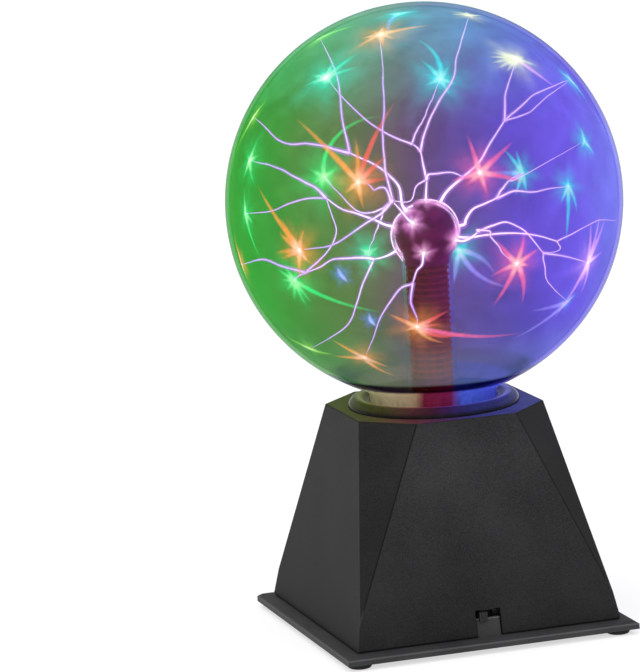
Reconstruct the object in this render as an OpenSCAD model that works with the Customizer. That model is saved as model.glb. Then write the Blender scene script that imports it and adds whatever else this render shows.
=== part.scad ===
// Plasma ball: a gas-filled glass globe with a ball electrode on a stem, standing in a faceted base
// that holds the high-voltage driver. Millimetres, +Z up, z = 0 is the table. The base's front,
// with the mode switch, faces -Y, and the power inlet faces +Y.

/* [Globe] */
// Outside diameter of the globe
globe_d = 200; // [150:1:250]
// Thickness of the globe's glass
globe_wall = 2; // [1.6:0.1:3]
// Outside diameter of the globe's neck
neck_d = 64; // [52:0.5:68]
// Radius of the sweep from the globe into its neck
neck_fillet = 6; // [4:0.5:9]
// Height of that sweep's lower end above the shell's roof
neck_rise = 4; // [3.2:0.1:8]
// Depth of the neck below the shell's roof
neck_depth = 17.6; // [13:0.1:24]

/* [Electrode] */
// Outside diameter of the ball on the stem
ball_d = 34; // [29:0.5:44]
// Outside diameter of the glass stem
stem_d = 26; // [20:0.5:27]
// Thickness of the stem's glass
stem_wall = 1.5; // [1.1:0.1:2]
// Distance of the ball's centre below the globe's centre
ball_drop = 16.3; // [0:0.1:30]
// Distance from one rib of the sleeve to the next
rib_pitch = 3.2; // [2.4:0.1:5]

/* [Shell] */
// Width of the shell across its foot
shell_foot_w = 139; // [128:0.5:170]
// Width of the shell's top across its flats
shell_top_w = 98.4; // [94:0.2:110]
// Length of each of the four flat edges of the top
top_flat = 52.6; // [42:0.2:60]
// Height of the shell
shell_h = 106.6; // [86:0.2:140]
// Height above the shell's foot where the corner facets run out to a point
facet_start = 14; // [8:0.5:30]
// Thickness of the shell's walls
wall = 2.5; // [2:0.1:3.2]
// Thickness of the shell's roof
roof = 3; // [2.4:0.1:4]
// Height and depth of the dark joint line round the shell's foot
joint_line = 0.8; // [0.5:0.1:1.2]

/* [Bottom plate] */
// Distance that the plate stands out past the shell's foot
plate_margin = 7; // [4:0.5:14]
// Thickness of the plate at its edge
plate_edge = 2.7; // [2:0.1:4]
// Height of the bevel along the plate's top edge
plate_bevel = 1.5; // [1:0.1:2]
// Diameter of the rubber feet
foot_d = 11.8; // [9:0.1:15]
// Height that the feet lift the plate off the table
foot_h = 2.8; // [2:0.1:5]
// Distance of each foot's centre from the plate's edges
foot_inset = 8.4; // [7.5:0.1:10]

/* [Switch] */
// Width of the notch in the shell's front
notch_w = 13.2; // [11.5:0.1:16]
// Height of the notch above the shell's foot
notch_h = 13.4; // [12.8:0.1:15]
// Height of the tongue that fills the lower part of the notch
tongue_h = 8.9; // [8:0.1:9.1]
// Width of the switch's knob
knob_w = 4.1; // [3.4:0.1:4.5]
// Height of the switch's knob
knob_h = 4.9; // [4:0.1:5.2]
// Travel of the knob over its three positions
knob_travel = 5.4; // [4:0.1:5.6]

/* [Driver] */
// Width of the circuit board
board_w = 88; // [84:1:92]
// Length of the circuit board, front to back
board_l = 84; // [80:1:90]
// Thickness of the circuit board
board_t = 1.6; // [1.2:0.1:2]
// Height of the posts under the circuit board
board_lift = 6; // [4:0.5:8]
// Outside diameter of the potted high-voltage winding
winding_d = 28; // [24:0.5:30]
// Diameter of the high-voltage lead
lead_d = 3.5; // [2.6:0.1:4]

/* [Hidden] */
$fn = 96;

through = 0.5;                     // how far a cutter runs past the face it opens
slip = 0.1;                        // radial gap round anything that slides into a hole

// Heights of the base
plate_top = foot_h + plate_edge + plate_bevel;
shell_top = plate_top + shell_h;
roof_under = shell_top - roof;
lean = (shell_foot_w - shell_top_w) / 2 / shell_h;
function face_at(z) = shell_foot_w / 2 - lean * (z - plate_top);

// Globe and stem
globe_r = globe_d / 2;
neck_r = neck_d / 2;
neck_bore_r = neck_r - globe_wall;
blend_z = shell_top + neck_rise;
globe_z = blend_z + sqrt(pow(globe_r + neck_fillet, 2) - pow(neck_r + neck_fillet, 2));
neck_foot_z = shell_top - neck_depth;
flare_t = 2;
ball_r = ball_d / 2;
stem_r = stem_d / 2;
stem_bore_r = stem_r - stem_wall;
stem_fillet = 6;
ball_z = globe_z - ball_drop;
wool_foot_z = ball_z - 0.9 * ball_r;
tip_r = 3;
tip_length = 6;
tip_at = (stem_r + neck_bore_r) / 2;

// Collar, seal, retainer and cushion round the neck
ledge_gap = 0.6;                   // between the collar's inner edge and the neck
seal_t = 1.35;
spigot_t = 1.6;
bead_r = 5;
collar_ledge = 3;                  // height of the collar's inner edge above the roof
seal_top = 1;                      // how far the seal stands above the roof's top
seal_r = neck_r + seal_t;
spigot_r = seal_r + spigot_t;
roof_hole_r = spigot_r + 0.2;
bead_at = neck_r + 6.5;            // radius of the bead's centre, and of the screw circle
cup_gap = 1;
cup_wall = 2.3;
cup_flange = 3;
cushion_t = 1.5;
cup_floor = 2.5;
cup_floor_z = neck_foot_z - cushion_t - cup_floor;
cup_hole_r = tip_at + tip_r + 1.5;
cup_flange_r = bead_at + 4.6;

// Electrode stack inside the stem
bung_plug_h = 5;
bung_flange_h = 3;
bung_z = neck_foot_z - bung_flange_h;
sleeve_foot_z = neck_foot_z + bung_plug_h;
rib_depth = 0.9;
sleeve_r = stem_bore_r - 1.5;
sleeve_bore_r = sleeve_r - 1.6;
rib_count = floor((wool_foot_z - sleeve_foot_z) / rib_pitch);
rod_r = 1.2;
rod_foot_z = sleeve_foot_z + 5;
rod_top_z = ball_z - 3;

// Self-tapping screws: shank radius, head radius and head height
case_screw = [1.5, 3, 2.2];
board_screw = [1.1, 2.2, 1.6];
ear_screw = [0.9, 1.8, 1.2];

// Corner bosses of the shell
boss_at = shell_foot_w / 2 - 13.5;
boss_r = 4;
boss_h = 45;
case_screw_l = 14;
head_sink = 3;                     // depth of the screw heads' pockets in the plate

// Circuit board and what stands on it
jack_w = 9;
jack_h = 11;
jack_l = 14;
jack_bore_r = 3.2;
jack_bore_l = 9.5;
jack_x = 22;
jack_pin_r = 1.05;
plug_hole_r = 5.5;
board_z = plate_top + board_lift;
board_top = board_z + board_t;
jack_z = board_top + 6.5;
jack_face_y = face_at(board_top + jack_h) - wall - 0.4;
board_rear_y = jack_face_y - 1;
board_y = board_rear_y - board_l / 2;
board_front_y = board_rear_y - board_l;
post_r = 3.5;
post_in = 5;                       // distance of the board's posts from its edges

// Transformer: a square ferrite loop with a coil on each upright
leg = 10;
leg_gap = 28;
loop_h = 44;
loop_z = board_top + 1.4;
loop_x = [-20, -20 + leg_gap];
loop_y = board_y;
coil_gap = 0.3;
winding_r = winding_d / 2;
primary_r = 8.5;
spout_r = 2.6;
spout_h = 3;
spout_y = loop_y + leg / 2 + spout_r + 1;
spout_z = loop_z + loop_h - leg - coil_gap;

// Heat sink and transistor
sink_x = 25;
sink_y = loop_y - 8;
sink_size = [17, 28, 30];
sink_base = 3;
fin_t = 1.5;
fins = 5;
tab_z = board_top + 23.5;          // height of the transistor's screw
transistor_t = 4.5;

// Slide switch behind the notch
tongue_recess = 1.2;                // the tongue's front lies this far behind the shell's face
knob_gap = 0.3;                     // between the knob and the tongue
knob_stem_h = 2;
knob_z = plate_top + tongue_h + knob_gap + knob_stem_h / 2;
can_size = [19, 6, 7];
ear_reach = 15.5;
ear_t = 0.5;
ear_hole_at = 12.4;
ear_y = -(face_at(knob_z) - wall - 4.4);   // front face of the switch's ears
knob_rest_x = -knob_travel / 2 - 0.15;
knob_stem_w = 3;
knob_cap_t = 1.5;
cap_back_y = -face_at(knob_z - knob_h / 2) + tongue_recess - knob_gap;
terminal_y = ear_y + ear_t + can_size[1] + 4;
switch_wire_r = 0.7;

// One corner of a square of half-width h, turned k quarter turns from the front left one
function turned(p, k) = k == 0 ? p : turned([-p[1], p[0]], k - 1);
function on_level(p, z) = [for (k = [0:3]) concat(turned(p, k), [z])];

// Square body whose corners are cut by leaning facets: low square, square where the facets
// start, and an eight-sided top with half-width top_half and half-flat flat_half
module faceted_body(low_z, low_half, start_z, start_half, top_z, top_half, flat_half) {
    corners = concat(
        on_level([-low_half, -low_half], low_z),
        on_level([-start_half, -start_half], start_z),
        on_level([-top_half, -flat_half], top_z),
        on_level([-flat_half, -top_half], top_z)
    );
    sides = [for (k = [0:3]) let (n = (k + 1) % 4) [k + 4, k + 12, n + 8, n + 4, n, k]];
    facets = [for (k = [0:3]) [k + 4, k + 8, k + 12]];
    top = [for (k = [3:-1:0]) each [k + 12, k + 8]];
    polyhedron(points = corners, faces = concat([[0, 1, 2, 3]], [top], sides, facets));
}

module shell_outside() {
    start_z = plate_top + facet_start;
    faceted_body(plate_top, face_at(plate_top), start_z, face_at(start_z),
        shell_top, face_at(shell_top), top_flat / 2);
}

// The same body moved in by the wall, which starts its facets a little higher
module shell_inside() {
    facet_lean = (2 * face_at(plate_top + facet_start) - shell_top_w / 2 - top_flat / 2)
        / (shell_h - facet_start);
    start_z = plate_top + facet_start + (2 - sqrt(2)) * wall / (facet_lean - 2 * lean);
    low_z = plate_top - through;
    top_half = face_at(roof_under) - wall;
    top_sum = shell_top_w / 2 + top_flat / 2 + facet_lean * roof - sqrt(2) * wall;
    faceted_body(low_z, face_at(low_z) - wall, start_z, face_at(start_z) - wall,
        roof_under, top_half, top_sum - top_half);
}

module square_slab(half, low_z, high_z) {
    translate([-half, -half, low_z]) cube([2 * half, 2 * half, high_z - low_z]);
}

module at_corners(reach, reach_y = undef) {
    for (sx = [-1, 1], sy = [-1, 1])
        translate([sx * reach, sy * (is_undef(reach_y) ? reach : reach_y), 0]) children();
}

module ring(outer_r, inner_r, low_z, high_z) {
    translate([0, 0, low_z]) difference() {
        cylinder(r = outer_r, h = high_z - low_z);
        translate([0, 0, -through]) cylinder(r = inner_r, h = high_z - low_z + 2 * through);
    }
}

// Pan-head screw standing on z = 0 with its shank upwards and a cross recess below
module screw(kind, length) {
    slot_t = kind[0] * 0.45;
    difference() {
        union() {
            cylinder(r = kind[0], h = length);
            translate([0, 0, -kind[2]]) cylinder(r1 = kind[1] * 0.8, r2 = kind[1], h = kind[2]);
        }
        for (turn = [0, 90]) rotate([0, 0, turn])
            translate([-kind[1] * 0.55, -slot_t / 2, -kind[2] - through])
                cube([kind[1] * 1.1, slot_t, kind[2] * 0.6 + through]);
    }
}

// Half outline of a ball on a tube, blended by an arc, moved in by inset
module bulb_outline(ball, tube, fillet, centre_z, foot_z, inset) {
    blend = [tube + fillet, centre_z - sqrt(pow(ball + fillet, 2) - pow(tube + fillet, 2))];
    share = (ball - inset) / (ball + fillet);
    touch = [blend[0] * share, centre_z + (blend[1] - centre_z) * share];
    intersection() {
        translate([0, foot_z - 2 * ball]) square([2 * ball, centre_z - foot_z + 4 * ball]);
        translate([0, centre_z]) circle(r = ball - inset);
    }
    difference() {
        polygon([[0, blend[1]], blend, touch, [0, touch[1]]]);
        translate(blend) circle(r = fillet + inset);
    }
    translate([0, foot_z]) square([tube - inset, blend[1] - foot_z]);
}

module bulb(ball, tube, fillet, centre_z, foot_z, wall_t) {
    rotate_extrude() difference() {
        bulb_outline(ball, tube, fillet, centre_z, foot_z, 0);
        bulb_outline(ball, tube, fillet, centre_z, foot_z - through, wall_t);
    }
}

// Round wire swept along points: a smooth curve through them, then one polyhedron
function unit(v) = v / norm(v);
function curve_point(p, i, t) =
    let (a = p[max(i - 1, 0)], b = p[i], c = p[i + 1], d = p[min(i + 2, len(p) - 1)])
    0.5 * (2 * b + (c - a) * t + (2 * a - 5 * b + 4 * c - d) * t * t + (3 * b - a - 3 * c + d) * t * t * t);
function smooth(p, steps) = concat(
    [for (i = [0:len(p) - 2], s = [0:steps - 1]) curve_point(p, i, s / steps)], [p[len(p) - 1]]);
function heading(p, i) = unit(p[min(i + 1, len(p) - 1)] - p[max(i - 1, 0)]);
function side(p, i, last) = unit(last - (last * heading(p, i)) * heading(p, i));
function sides_along(p, first) = [for (i = 0, s = side(p, 0, first); i < len(p);
    i = i + 1, s = i < len(p) ? side(p, i, s) : s) s];

module wire(points, r, first_side) {
    spokes = 8;
    path = smooth(points, 4);
    across = sides_along(path, first_side);
    rings = [for (i = [0:len(path) - 1], k = [0:spokes - 1])
        let (u = across[i], v = cross(heading(path, i), u), a = 360 * k / spokes)
        path[i] + r * (cos(a) * u + sin(a) * v)];
    skin = [for (i = [0:len(path) - 2], k = [0:spokes - 1])
        let (n = (k + 1) % spokes, here = i * spokes, next = here + spokes)
        [here + n, here + k, next + k, next + n]];
    start_cap = [for (k = [0:spokes - 1]) k];
    end_cap = [for (k = [spokes - 1:-1:0]) (len(path) - 1) * spokes + k];
    polyhedron(points = rings, faces = concat([start_cap], [end_cap], skin));
}

module base_shell() {
    color([0.13, 0.13, 0.14]) difference() {
        union() {
            difference() {
                shell_outside();
                shell_inside();
            }
            intersection() {
                shell_outside();
                at_corners(boss_at) translate([0, 0, plate_top]) cylinder(r = boss_r, h = boss_h);
            }
        }
        at_corners(boss_at) translate([0, 0, plate_top - through])
            cylinder(r = case_screw[0], h = case_screw_l + through);
        difference() {
            square_slab(shell_foot_w, plate_top - through, plate_top + joint_line);
            square_slab(shell_foot_w / 2 - joint_line, plate_top - 1, plate_top + joint_line + 1);
        }
        translate([0, 0, roof_under - through]) cylinder(r = roof_hole_r, h = roof + 2 * through);
        for (turn = [45:90:315]) rotate([0, 0, turn]) translate([bead_at, 0, roof_under - through])
            cylinder(r = case_screw[0] + slip, h = roof + 2 * through);
        translate([-notch_w / 2, -shell_foot_w, plate_top - through])
            cube([notch_w, shell_foot_w, notch_h + through]);
        translate([jack_x, 0, jack_z]) rotate([-90, 0, 0]) cylinder(r = plug_hole_r, h = shell_foot_w);
    }
}

// Stands in the notch, parallel to the shell's leaning face and a little behind it
module tongue() {
    tongue_w = notch_w - 1;
    tongue_t = 2;
    front = face_at(plate_top) - tongue_recess;
    translate([-tongue_w / 2, 0, plate_top]) rotate([90, 0, 90]) linear_extrude(tongue_w)
        polygon([[-front, -through], [-front + tongue_h * lean, tongue_h],
            [-front + tongue_t + tongue_h * lean, tongue_h], [-front + tongue_t, -through]]);
}

module plate_slab() {
    half = shell_foot_w / 2 + plate_margin;
    bevel_run = 2.2;
    edge_z = foot_h + plate_edge;
    square_slab(half, foot_h, edge_z);
    faceted_body(edge_z, half, edge_z + plate_bevel / 2, half - bevel_run / 2,
        plate_top, half - bevel_run, half - bevel_run - 0.01);
}

module bottom_plate() {
    lip_t = 1.6;
    lip_h = 3;
    lip_half = face_at(plate_top + lip_h) - wall - 0.33;
    post_top = board_z;
    foot_pocket = 0.8;
    vent_w = 2.4;
    vent_l = 26;
    ear_post = [4.4, 5, knob_z + 2.6 - plate_top + through];
    foot_at = shell_foot_w / 2 + plate_margin - foot_inset;
    color([0.12, 0.12, 0.13]) difference() {
        union() {
            plate_slab();
            difference() {
                square_slab(lip_half, plate_top - through, plate_top + lip_h);
                square_slab(lip_half - lip_t, plate_top - 1, plate_top + lip_h + 1);
                at_corners(boss_at) translate([0, 0, plate_top])
                    cylinder(r = boss_r + 0.6, h = lip_h + through);
                translate([-notch_w / 2, -shell_foot_w, plate_top])
                    cube([notch_w, shell_foot_w, lip_h + through]);
            }
            tongue();
            translate([0, board_y, plate_top - through])
                at_corners(board_w / 2 - post_in, board_l / 2 - post_in)
                    cylinder(r = post_r, h = board_lift + through);
            for (s = [-1, 1]) translate([s * ear_hole_at - ear_post[0] / 2, ear_y + ear_t, plate_top - through])
                cube(ear_post);
        }
        translate([0, board_y, plate_top]) at_corners(board_w / 2 - post_in, board_l / 2 - post_in)
            cylinder(r = board_screw[0], h = board_lift + through);
        at_corners(boss_at) {
            translate([0, 0, foot_h - through]) cylinder(r = case_screw[0] + slip, h = plate_top);
            translate([0, 0, foot_h - through]) cylinder(r = case_screw[1] + 0.3, h = head_sink + through);
        }
        at_corners(foot_at) translate([0, 0, foot_h - through])
            cylinder(r = foot_d / 2 - 1.4, h = foot_pocket + through);
        for (s = [-1, 1]) translate([s * ear_hole_at, ear_y, knob_z]) rotate([-90, 0, 0])
            cylinder(r = ear_screw[0], h = ear_post[1] + 2);
        for (i = [-3:3]) translate([i * 2.6 * vent_w - vent_w / 2, board_front_y - vent_l / 2, foot_h - through])
            cube([vent_w, vent_l, plate_edge + plate_bevel + 2 * through]);
    }
}

// Rubber disc with a rounded rim and a stub that is glued into the plate's pocket
module foot(sx, sy) {
    foot_at = shell_foot_w / 2 + plate_margin - foot_inset;
    round_r = 1.2;
    r = foot_d / 2;
    color([0.09, 0.09, 0.09]) translate([sx * foot_at, sy * foot_at, 0]) rotate_extrude() {
        difference() {
            square([r, foot_h]);
            translate([r - round_r, -1]) square([round_r + 1, round_r + 1]);
        }
        intersection() {
            translate([r - round_r, round_r]) circle(r = round_r);
            translate([r - round_r, 0]) square([round_r, round_r]);
        }
        translate([0, foot_h - through]) square([r - 1.5, through + 0.8]);
    }
}

module bottom_screws() {
    color([0.62, 0.62, 0.64]) at_corners(boss_at) translate([0, 0, foot_h + head_sink])
        screw([case_screw[0], case_screw[1], case_screw[2]], case_screw_l - 2);
}

module collar_ring() {
    color([0.03, 0.03, 0.035]) difference() {
        rotate_extrude() difference() {
            translate([0, shell_top]) {
                intersection() {
                    translate([bead_at, 0]) circle(r = bead_r);
                    translate([bead_at - bead_r, 0]) square([2 * bead_r, bead_r]);
                }
                translate([neck_r + ledge_gap, 0]) square([bead_at - neck_r - ledge_gap, collar_ledge]);
                translate([seal_r + 0.05, -roof]) square([spigot_t - 0.05, roof + through]);
            }
            translate([0, roof_under - through]) square([seal_r + 0.05, roof + seal_top + through]);
        }
        for (turn = [45:90:315]) rotate([0, 0, turn]) translate([bead_at, 0, shell_top - through])
            cylinder(r = case_screw[0], h = 3.6 + through);
    }
}

module neck_seal() {
    color([0.75, 0.75, 0.72]) ring(seal_r, neck_r + 0.05, roof_under, shell_top + seal_top);
}

module globe_retainer() {
    cup_r = neck_r + cup_gap;
    color([0.2, 0.2, 0.21]) difference() {
        union() {
            ring(cup_flange_r, cup_r, roof_under - cup_flange, roof_under);
            ring(cup_r + cup_wall, cup_r, cup_floor_z, roof_under - cup_flange / 2);
            ring(cup_r + cup_wall / 2, cup_hole_r, cup_floor_z, cup_floor_z + cup_floor);
        }
        for (turn = [45:90:315]) rotate([0, 0, turn]) {
            translate([bead_at, 0, roof_under - cup_flange - through])
                cylinder(r = case_screw[0] + slip, h = cup_flange + 2 * through);
            translate([bead_at, 0, cup_floor_z - through])
                cylinder(r = case_screw[1] + 0.2, h = roof_under - cup_flange - cup_floor_z + through);
        }
    }
}

module neck_cushion() {
    color([0.25, 0.25, 0.26]) ring(neck_r + 0.5, cup_hole_r, neck_foot_z - cushion_t, neck_foot_z);
}

module retainer_screws() {
    color([0.62, 0.62, 0.64]) for (turn = [45:90:315]) rotate([0, 0, turn])
        translate([bead_at, 0, roof_under - cup_flange]) screw(case_screw, cup_flange + roof + 3.2);
}

module globe_glass() {
    color([0.8, 0.9, 1, 0.25])
        bulb(globe_r, neck_r, neck_fillet, globe_z, neck_foot_z + flare_t, globe_wall);
}

// Re-entrant glass: ball, tube, the flare that is fused to the neck's rim, and the sealed pump tip
module stem_glass() {
    color([0.8, 0.9, 1, 0.3]) {
        difference() {
            union() {
                bulb(ball_r, stem_r, stem_fillet, ball_z, neck_foot_z, stem_wall);
                ring(neck_r, stem_r - stem_wall / 2, neck_foot_z, neck_foot_z + flare_t);
            }
        }
        translate([tip_at, 0, neck_foot_z - tip_length + tip_r]) {
            cylinder(r = tip_r, h = tip_length - tip_r + flare_t / 2);
            sphere(r = tip_r);
        }
    }
}

module electrode_wool() {
    gap = stem_wall + 0.2;
    color([0.35, 0.08, 0.25]) difference() {
        rotate_extrude() intersection() {
            bulb_outline(ball_r, stem_r, stem_fillet, ball_z, neck_foot_z, gap);
            translate([0, wool_foot_z]) square([ball_r, 2 * ball_r]);
        }
        translate([0, 0, wool_foot_z - through]) cylinder(r = rod_r + 0.05, h = rod_top_z - wool_foot_z + through);
    }
}

module stem_sleeve() {
    land = rib_pitch * 0.3;
    color([0.3, 0.17, 0.08]) rotate_extrude() {
        translate([sleeve_bore_r, sleeve_foot_z])
            square([sleeve_r - sleeve_bore_r, wool_foot_z - sleeve_foot_z - 0.2]);
        for (i = [0:rib_count - 1]) translate([sleeve_r, sleeve_foot_z + (i + 0.5) * rib_pitch])
            polygon([[-0.2, -land], [rib_depth, -land / 3], [rib_depth, land / 3], [-0.2, land]]);
    }
}

module contact_rod() {
    color([0.75, 0.6, 0.3]) translate([0, 0, rod_foot_z]) cylinder(r = rod_r, h = rod_top_z - rod_foot_z);
}

module stem_bung() {
    bore = lead_d / 2 + slip;
    color([0.5, 0.12, 0.08]) {
        ring(stem_bore_r - 0.05, bore, neck_foot_z - through, sleeve_foot_z);
        ring(stem_r + 1, bore, bung_z, neck_foot_z);
    }
}

// From the winding's spout up to the stem's bung, and through it to the foot of the rod
module high_voltage_lead() {
    start = [loop_x[0], spout_y, spout_z + spout_h];
    bung = [0, 0, bung_z];
    rise = bung_z - start[2];
    route = [
        start, start + [0, 0, rise * 0.25],
        start * 0.7 + bung * 0.3 + [0, 0, rise * 0.22],
        start * 0.3 + bung * 0.7,
        bung - [0, 0, rise * 0.12], bung + [0, 0, 1], [0, 0, rod_foot_z]
    ];
    color([0.8, 0.1, 0.08]) wire(route, lead_d / 2, [1, 0, 0]);
}

module driver_board() {
    color([0.1, 0.35, 0.16]) difference() {
        translate([-board_w / 2, board_front_y, board_z]) cube([board_w, board_l, board_t]);
        translate([0, board_y, board_z - through]) at_corners(board_w / 2 - post_in, board_l / 2 - post_in)
            cylinder(r = board_screw[0] + slip, h = board_t + 2 * through);
    }
}

module board_screws() {
    color([0.62, 0.62, 0.64]) translate([0, board_y, board_top])
        at_corners(board_w / 2 - post_in, board_l / 2 - post_in)
            rotate([180, 0, 0]) screw(board_screw, board_t + board_lift - 1);
}

// Two U-shaped halves that meet in the middle of both uprights
module ferrite_core() {
    split = 0.05;
    color([0.22, 0.22, 0.23]) difference() {
        translate([loop_x[0] - leg / 2, loop_y - leg / 2, loop_z]) cube([leg_gap + leg, leg, loop_h]);
        translate([loop_x[0] + leg / 2, loop_y - leg, loop_z + leg])
            cube([leg_gap - leg, 2 * leg, loop_h - 2 * leg]);
        translate([loop_x[0] - leg, loop_y - leg, loop_z + loop_h / 2])
            cube([leg_gap + 2 * leg, 2 * leg, split]);
    }
}

module coil(x, r) {
    window = loop_h - 2 * leg - 2 * coil_gap;
    translate([x, loop_y, loop_z + leg + coil_gap]) difference() {
        cylinder(r = r, h = window);
        translate([-leg / 2 - slip, -leg / 2 - slip, -through])
            cube([leg + 2 * slip, leg + 2 * slip, window + 2 * through]);
    }
}

module high_voltage_winding() {
    color([0.05, 0.05, 0.06]) {
        coil(loop_x[0], winding_r);
        translate([loop_x[0], spout_y, spout_z]) cylinder(r = spout_r, h = spout_h);
    }
}

module primary_winding() {
    color([0.72, 0.36, 0.12]) coil(loop_x[1], primary_r);
}

module heat_sink() {
    fin_step = (sink_size[1] - fin_t) / (fins - 1);
    color([0.75, 0.76, 0.78]) translate([sink_x, sink_y - sink_size[1] / 2, board_top]) difference() {
        union() {
            cube([sink_base, sink_size[1], sink_size[2]]);
            for (i = [0:fins - 1]) translate([0, i * fin_step, 0]) cube([sink_size[0], fin_t, sink_size[2]]);
        }
        translate([-through, sink_size[1] / 2 - fin_step / 2, tab_z - board_top]) rotate([0, 90, 0])
            cylinder(r = case_screw[0] + slip, h = sink_base + 2 * through);
    }
}

transistor_y = sink_y - (sink_size[1] - fin_t) / (fins - 1) / 2;

module power_transistor() {
    package = [transistor_t, 10, 9.5];
    tab = [1.3, 10, 6.3];
    pin_t = 0.8;
    package_z = tab_z - 3.2 - package[2];
    color([0.08, 0.08, 0.08]) translate([sink_x - package[0], transistor_y - package[1] / 2, package_z])
        cube(package);
    color([0.7, 0.7, 0.72]) {
        difference() {
            translate([sink_x - tab[0], transistor_y - tab[1] / 2, package_z + package[2]]) cube(tab);
            translate([sink_x - 5, transistor_y, tab_z]) rotate([0, 90, 0])
                cylinder(r = case_screw[0] + slip, h = 10);
        }
        for (i = [-1:1]) translate([sink_x - 2.6, transistor_y + i * 2.54 - pin_t / 2, board_top])
            cube([pin_t / 2, pin_t, package_z - board_top]);
    }
}

module transistor_screw() {
    color([0.62, 0.62, 0.64]) translate([sink_x - 1.3, transistor_y, tab_z]) rotate([0, 90, 0])
        screw([case_screw[0], 2.7, 1.8], 1.3 + sink_base + 2.2);
}

module filter_capacitors() {
    sleeve_gap = 0.4;
    for (x = [-36, -23]) translate([x, board_front_y + 14, board_top + sleeve_gap]) {
        color([0.1, 0.14, 0.3]) difference() {
            cylinder(r = 5, h = 16);
            for (turn = [0, 90]) rotate([0, 0, turn]) translate([-3, -0.2, 15.7]) cube([6, 0.4, 1]);
        }
        color([0.7, 0.7, 0.72]) for (s = [-1, 1]) translate([s * 1.25, 0, -sleeve_gap])
            cylinder(r = 0.3, h = sleeve_gap);
    }
}

module film_capacitor() {
    color([0.75, 0.5, 0.08]) translate([-10, board_front_y + 10, board_top]) cube([18, 8, 13]);
}

// Eight-legged package with its orientation notch
module timer_chip() {
    size = [9.6, 6.4, 3.4];
    origin = [16, board_front_y + 10, board_top];
    color([0.06, 0.06, 0.06]) difference() {
        translate(origin + [0, 0, 0.6]) cube(size);
        translate(origin + [0, size[1] / 2, 3.5]) cylinder(r = 1, h = 1);
    }
    color([0.75, 0.75, 0.77]) for (i = [0:3], s = [0, 1])
        translate(origin + [0.75 + i * 2.54, s == 0 ? -0.5 : size[1], 0]) cube([0.5, 0.5, 2.2]);
}

module resistors() {
    for (i = [0:3]) translate([-36 + i * 5, board_rear_y - 12, board_top + 1.3]) {
        color([0.76, 0.66, 0.45]) rotate([-90, 0, 0]) cylinder(r = 1.2, h = 6.4);
        color([0.7, 0.7, 0.72]) for (y = [-0.6, 6.4]) translate([-0.25, y, -1.3]) cube([0.5, 0.6, 1.6]);
    }
}

module microphone() {
    color([0.7, 0.7, 0.72]) translate([board_w / 2 - 11, board_front_y + 12, board_top]) difference() {
        cylinder(r = 4.8, h = 5.6);
        translate([0, 0, 5.2]) cylinder(r = 3.6, h = 1);
    }
}

module power_jack() {
    color([0.05, 0.05, 0.05]) difference() {
        translate([jack_x - jack_w / 2, jack_face_y - jack_l, board_top]) cube([jack_w, jack_l, jack_h]);
        translate([jack_x, jack_face_y - jack_bore_l, jack_z]) rotate([-90, 0, 0])
            cylinder(r = jack_bore_r, h = jack_bore_l + through);
    }
}

module power_jack_pin() {
    recess = 0.6;
    color([0.8, 0.8, 0.8]) translate([jack_x, jack_face_y - jack_bore_l, jack_z]) rotate([-90, 0, 0])
        cylinder(r = jack_pin_r, h = jack_bore_l - recess);
}

// Steel frame with two ears and a window for the knob's stem
module switch_can() {
    skin = 0.5;
    window_w = knob_travel + knob_stem_w + 0.8;
    color([0.72, 0.72, 0.74]) difference() {
        union() {
            translate([-ear_reach, ear_y, knob_z - can_size[2] / 2]) cube([2 * ear_reach, ear_t, can_size[2]]);
            translate([-can_size[0] / 2, ear_y, knob_z - can_size[2] / 2])
                cube([can_size[0], can_size[1] + ear_t, can_size[2]]);
        }
        translate([-can_size[0] / 2 + skin, ear_y + ear_t, knob_z - can_size[2] / 2 + skin])
            cube([can_size[0] - 2 * skin, can_size[1] + through, can_size[2] - 2 * skin]);
        translate([-window_w / 2, ear_y - through, knob_z - knob_stem_h / 2 - 0.3])
            cube([window_w, ear_t + 2 * through, knob_stem_h + 0.6]);
        for (s = [-1, 1]) translate([s * ear_hole_at, ear_y - through, knob_z]) rotate([-90, 0, 0])
            cylinder(r = ear_screw[0] + slip, h = ear_t + 2 * through);
    }
}

// Insulating floor of the switch with four solder tags
module switch_base() {
    size = [can_size[0] - 1.2, 1.5, can_size[2] - 1.2];
    y = ear_y + ear_t + can_size[1] - size[1];
    tag_l = terminal_y - y - size[1];
    color([0.45, 0.28, 0.14]) translate([-size[0] / 2, y, knob_z - size[2] / 2]) cube(size);
    color([0.75, 0.75, 0.77]) for (i = [-1.5:1:1.5]) translate([i * 3.4 - 0.6, y + size[1], knob_z - 0.25])
        cube([1.2, tag_l, 0.5]);
}

module switch_knob() {
    inside = 3;
    stem_back_y = ear_y + ear_t + 0.3;
    color([0.1, 0.1, 0.1]) translate([knob_rest_x, 0, knob_z]) {
        translate([-knob_stem_w / 2 - 1, stem_back_y, -knob_stem_h / 2 - 0.8])
            cube([knob_stem_w + 2, inside, knob_stem_h + 1.6]);
        translate([-knob_stem_w / 2, cap_back_y - through, -knob_stem_h / 2])
            cube([knob_stem_w, stem_back_y - cap_back_y + 2 * through, knob_stem_h]);
        translate([-knob_w / 2, cap_back_y - knob_cap_t, -knob_h / 2]) difference() {
            cube([knob_w, knob_cap_t, knob_h]);
            for (i = [-1:1]) translate([knob_w / 2 + i * 1.1 - 0.2, -through, -through])
                cube([0.4, through + 0.35, knob_h + 2 * through]);
        }
    }
}

module switch_screws() {
    color([0.62, 0.62, 0.64]) for (s = [-1, 1]) translate([s * ear_hole_at, ear_y, knob_z])
        rotate([-90, 0, 0]) screw(ear_screw, 4.5);
}

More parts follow.
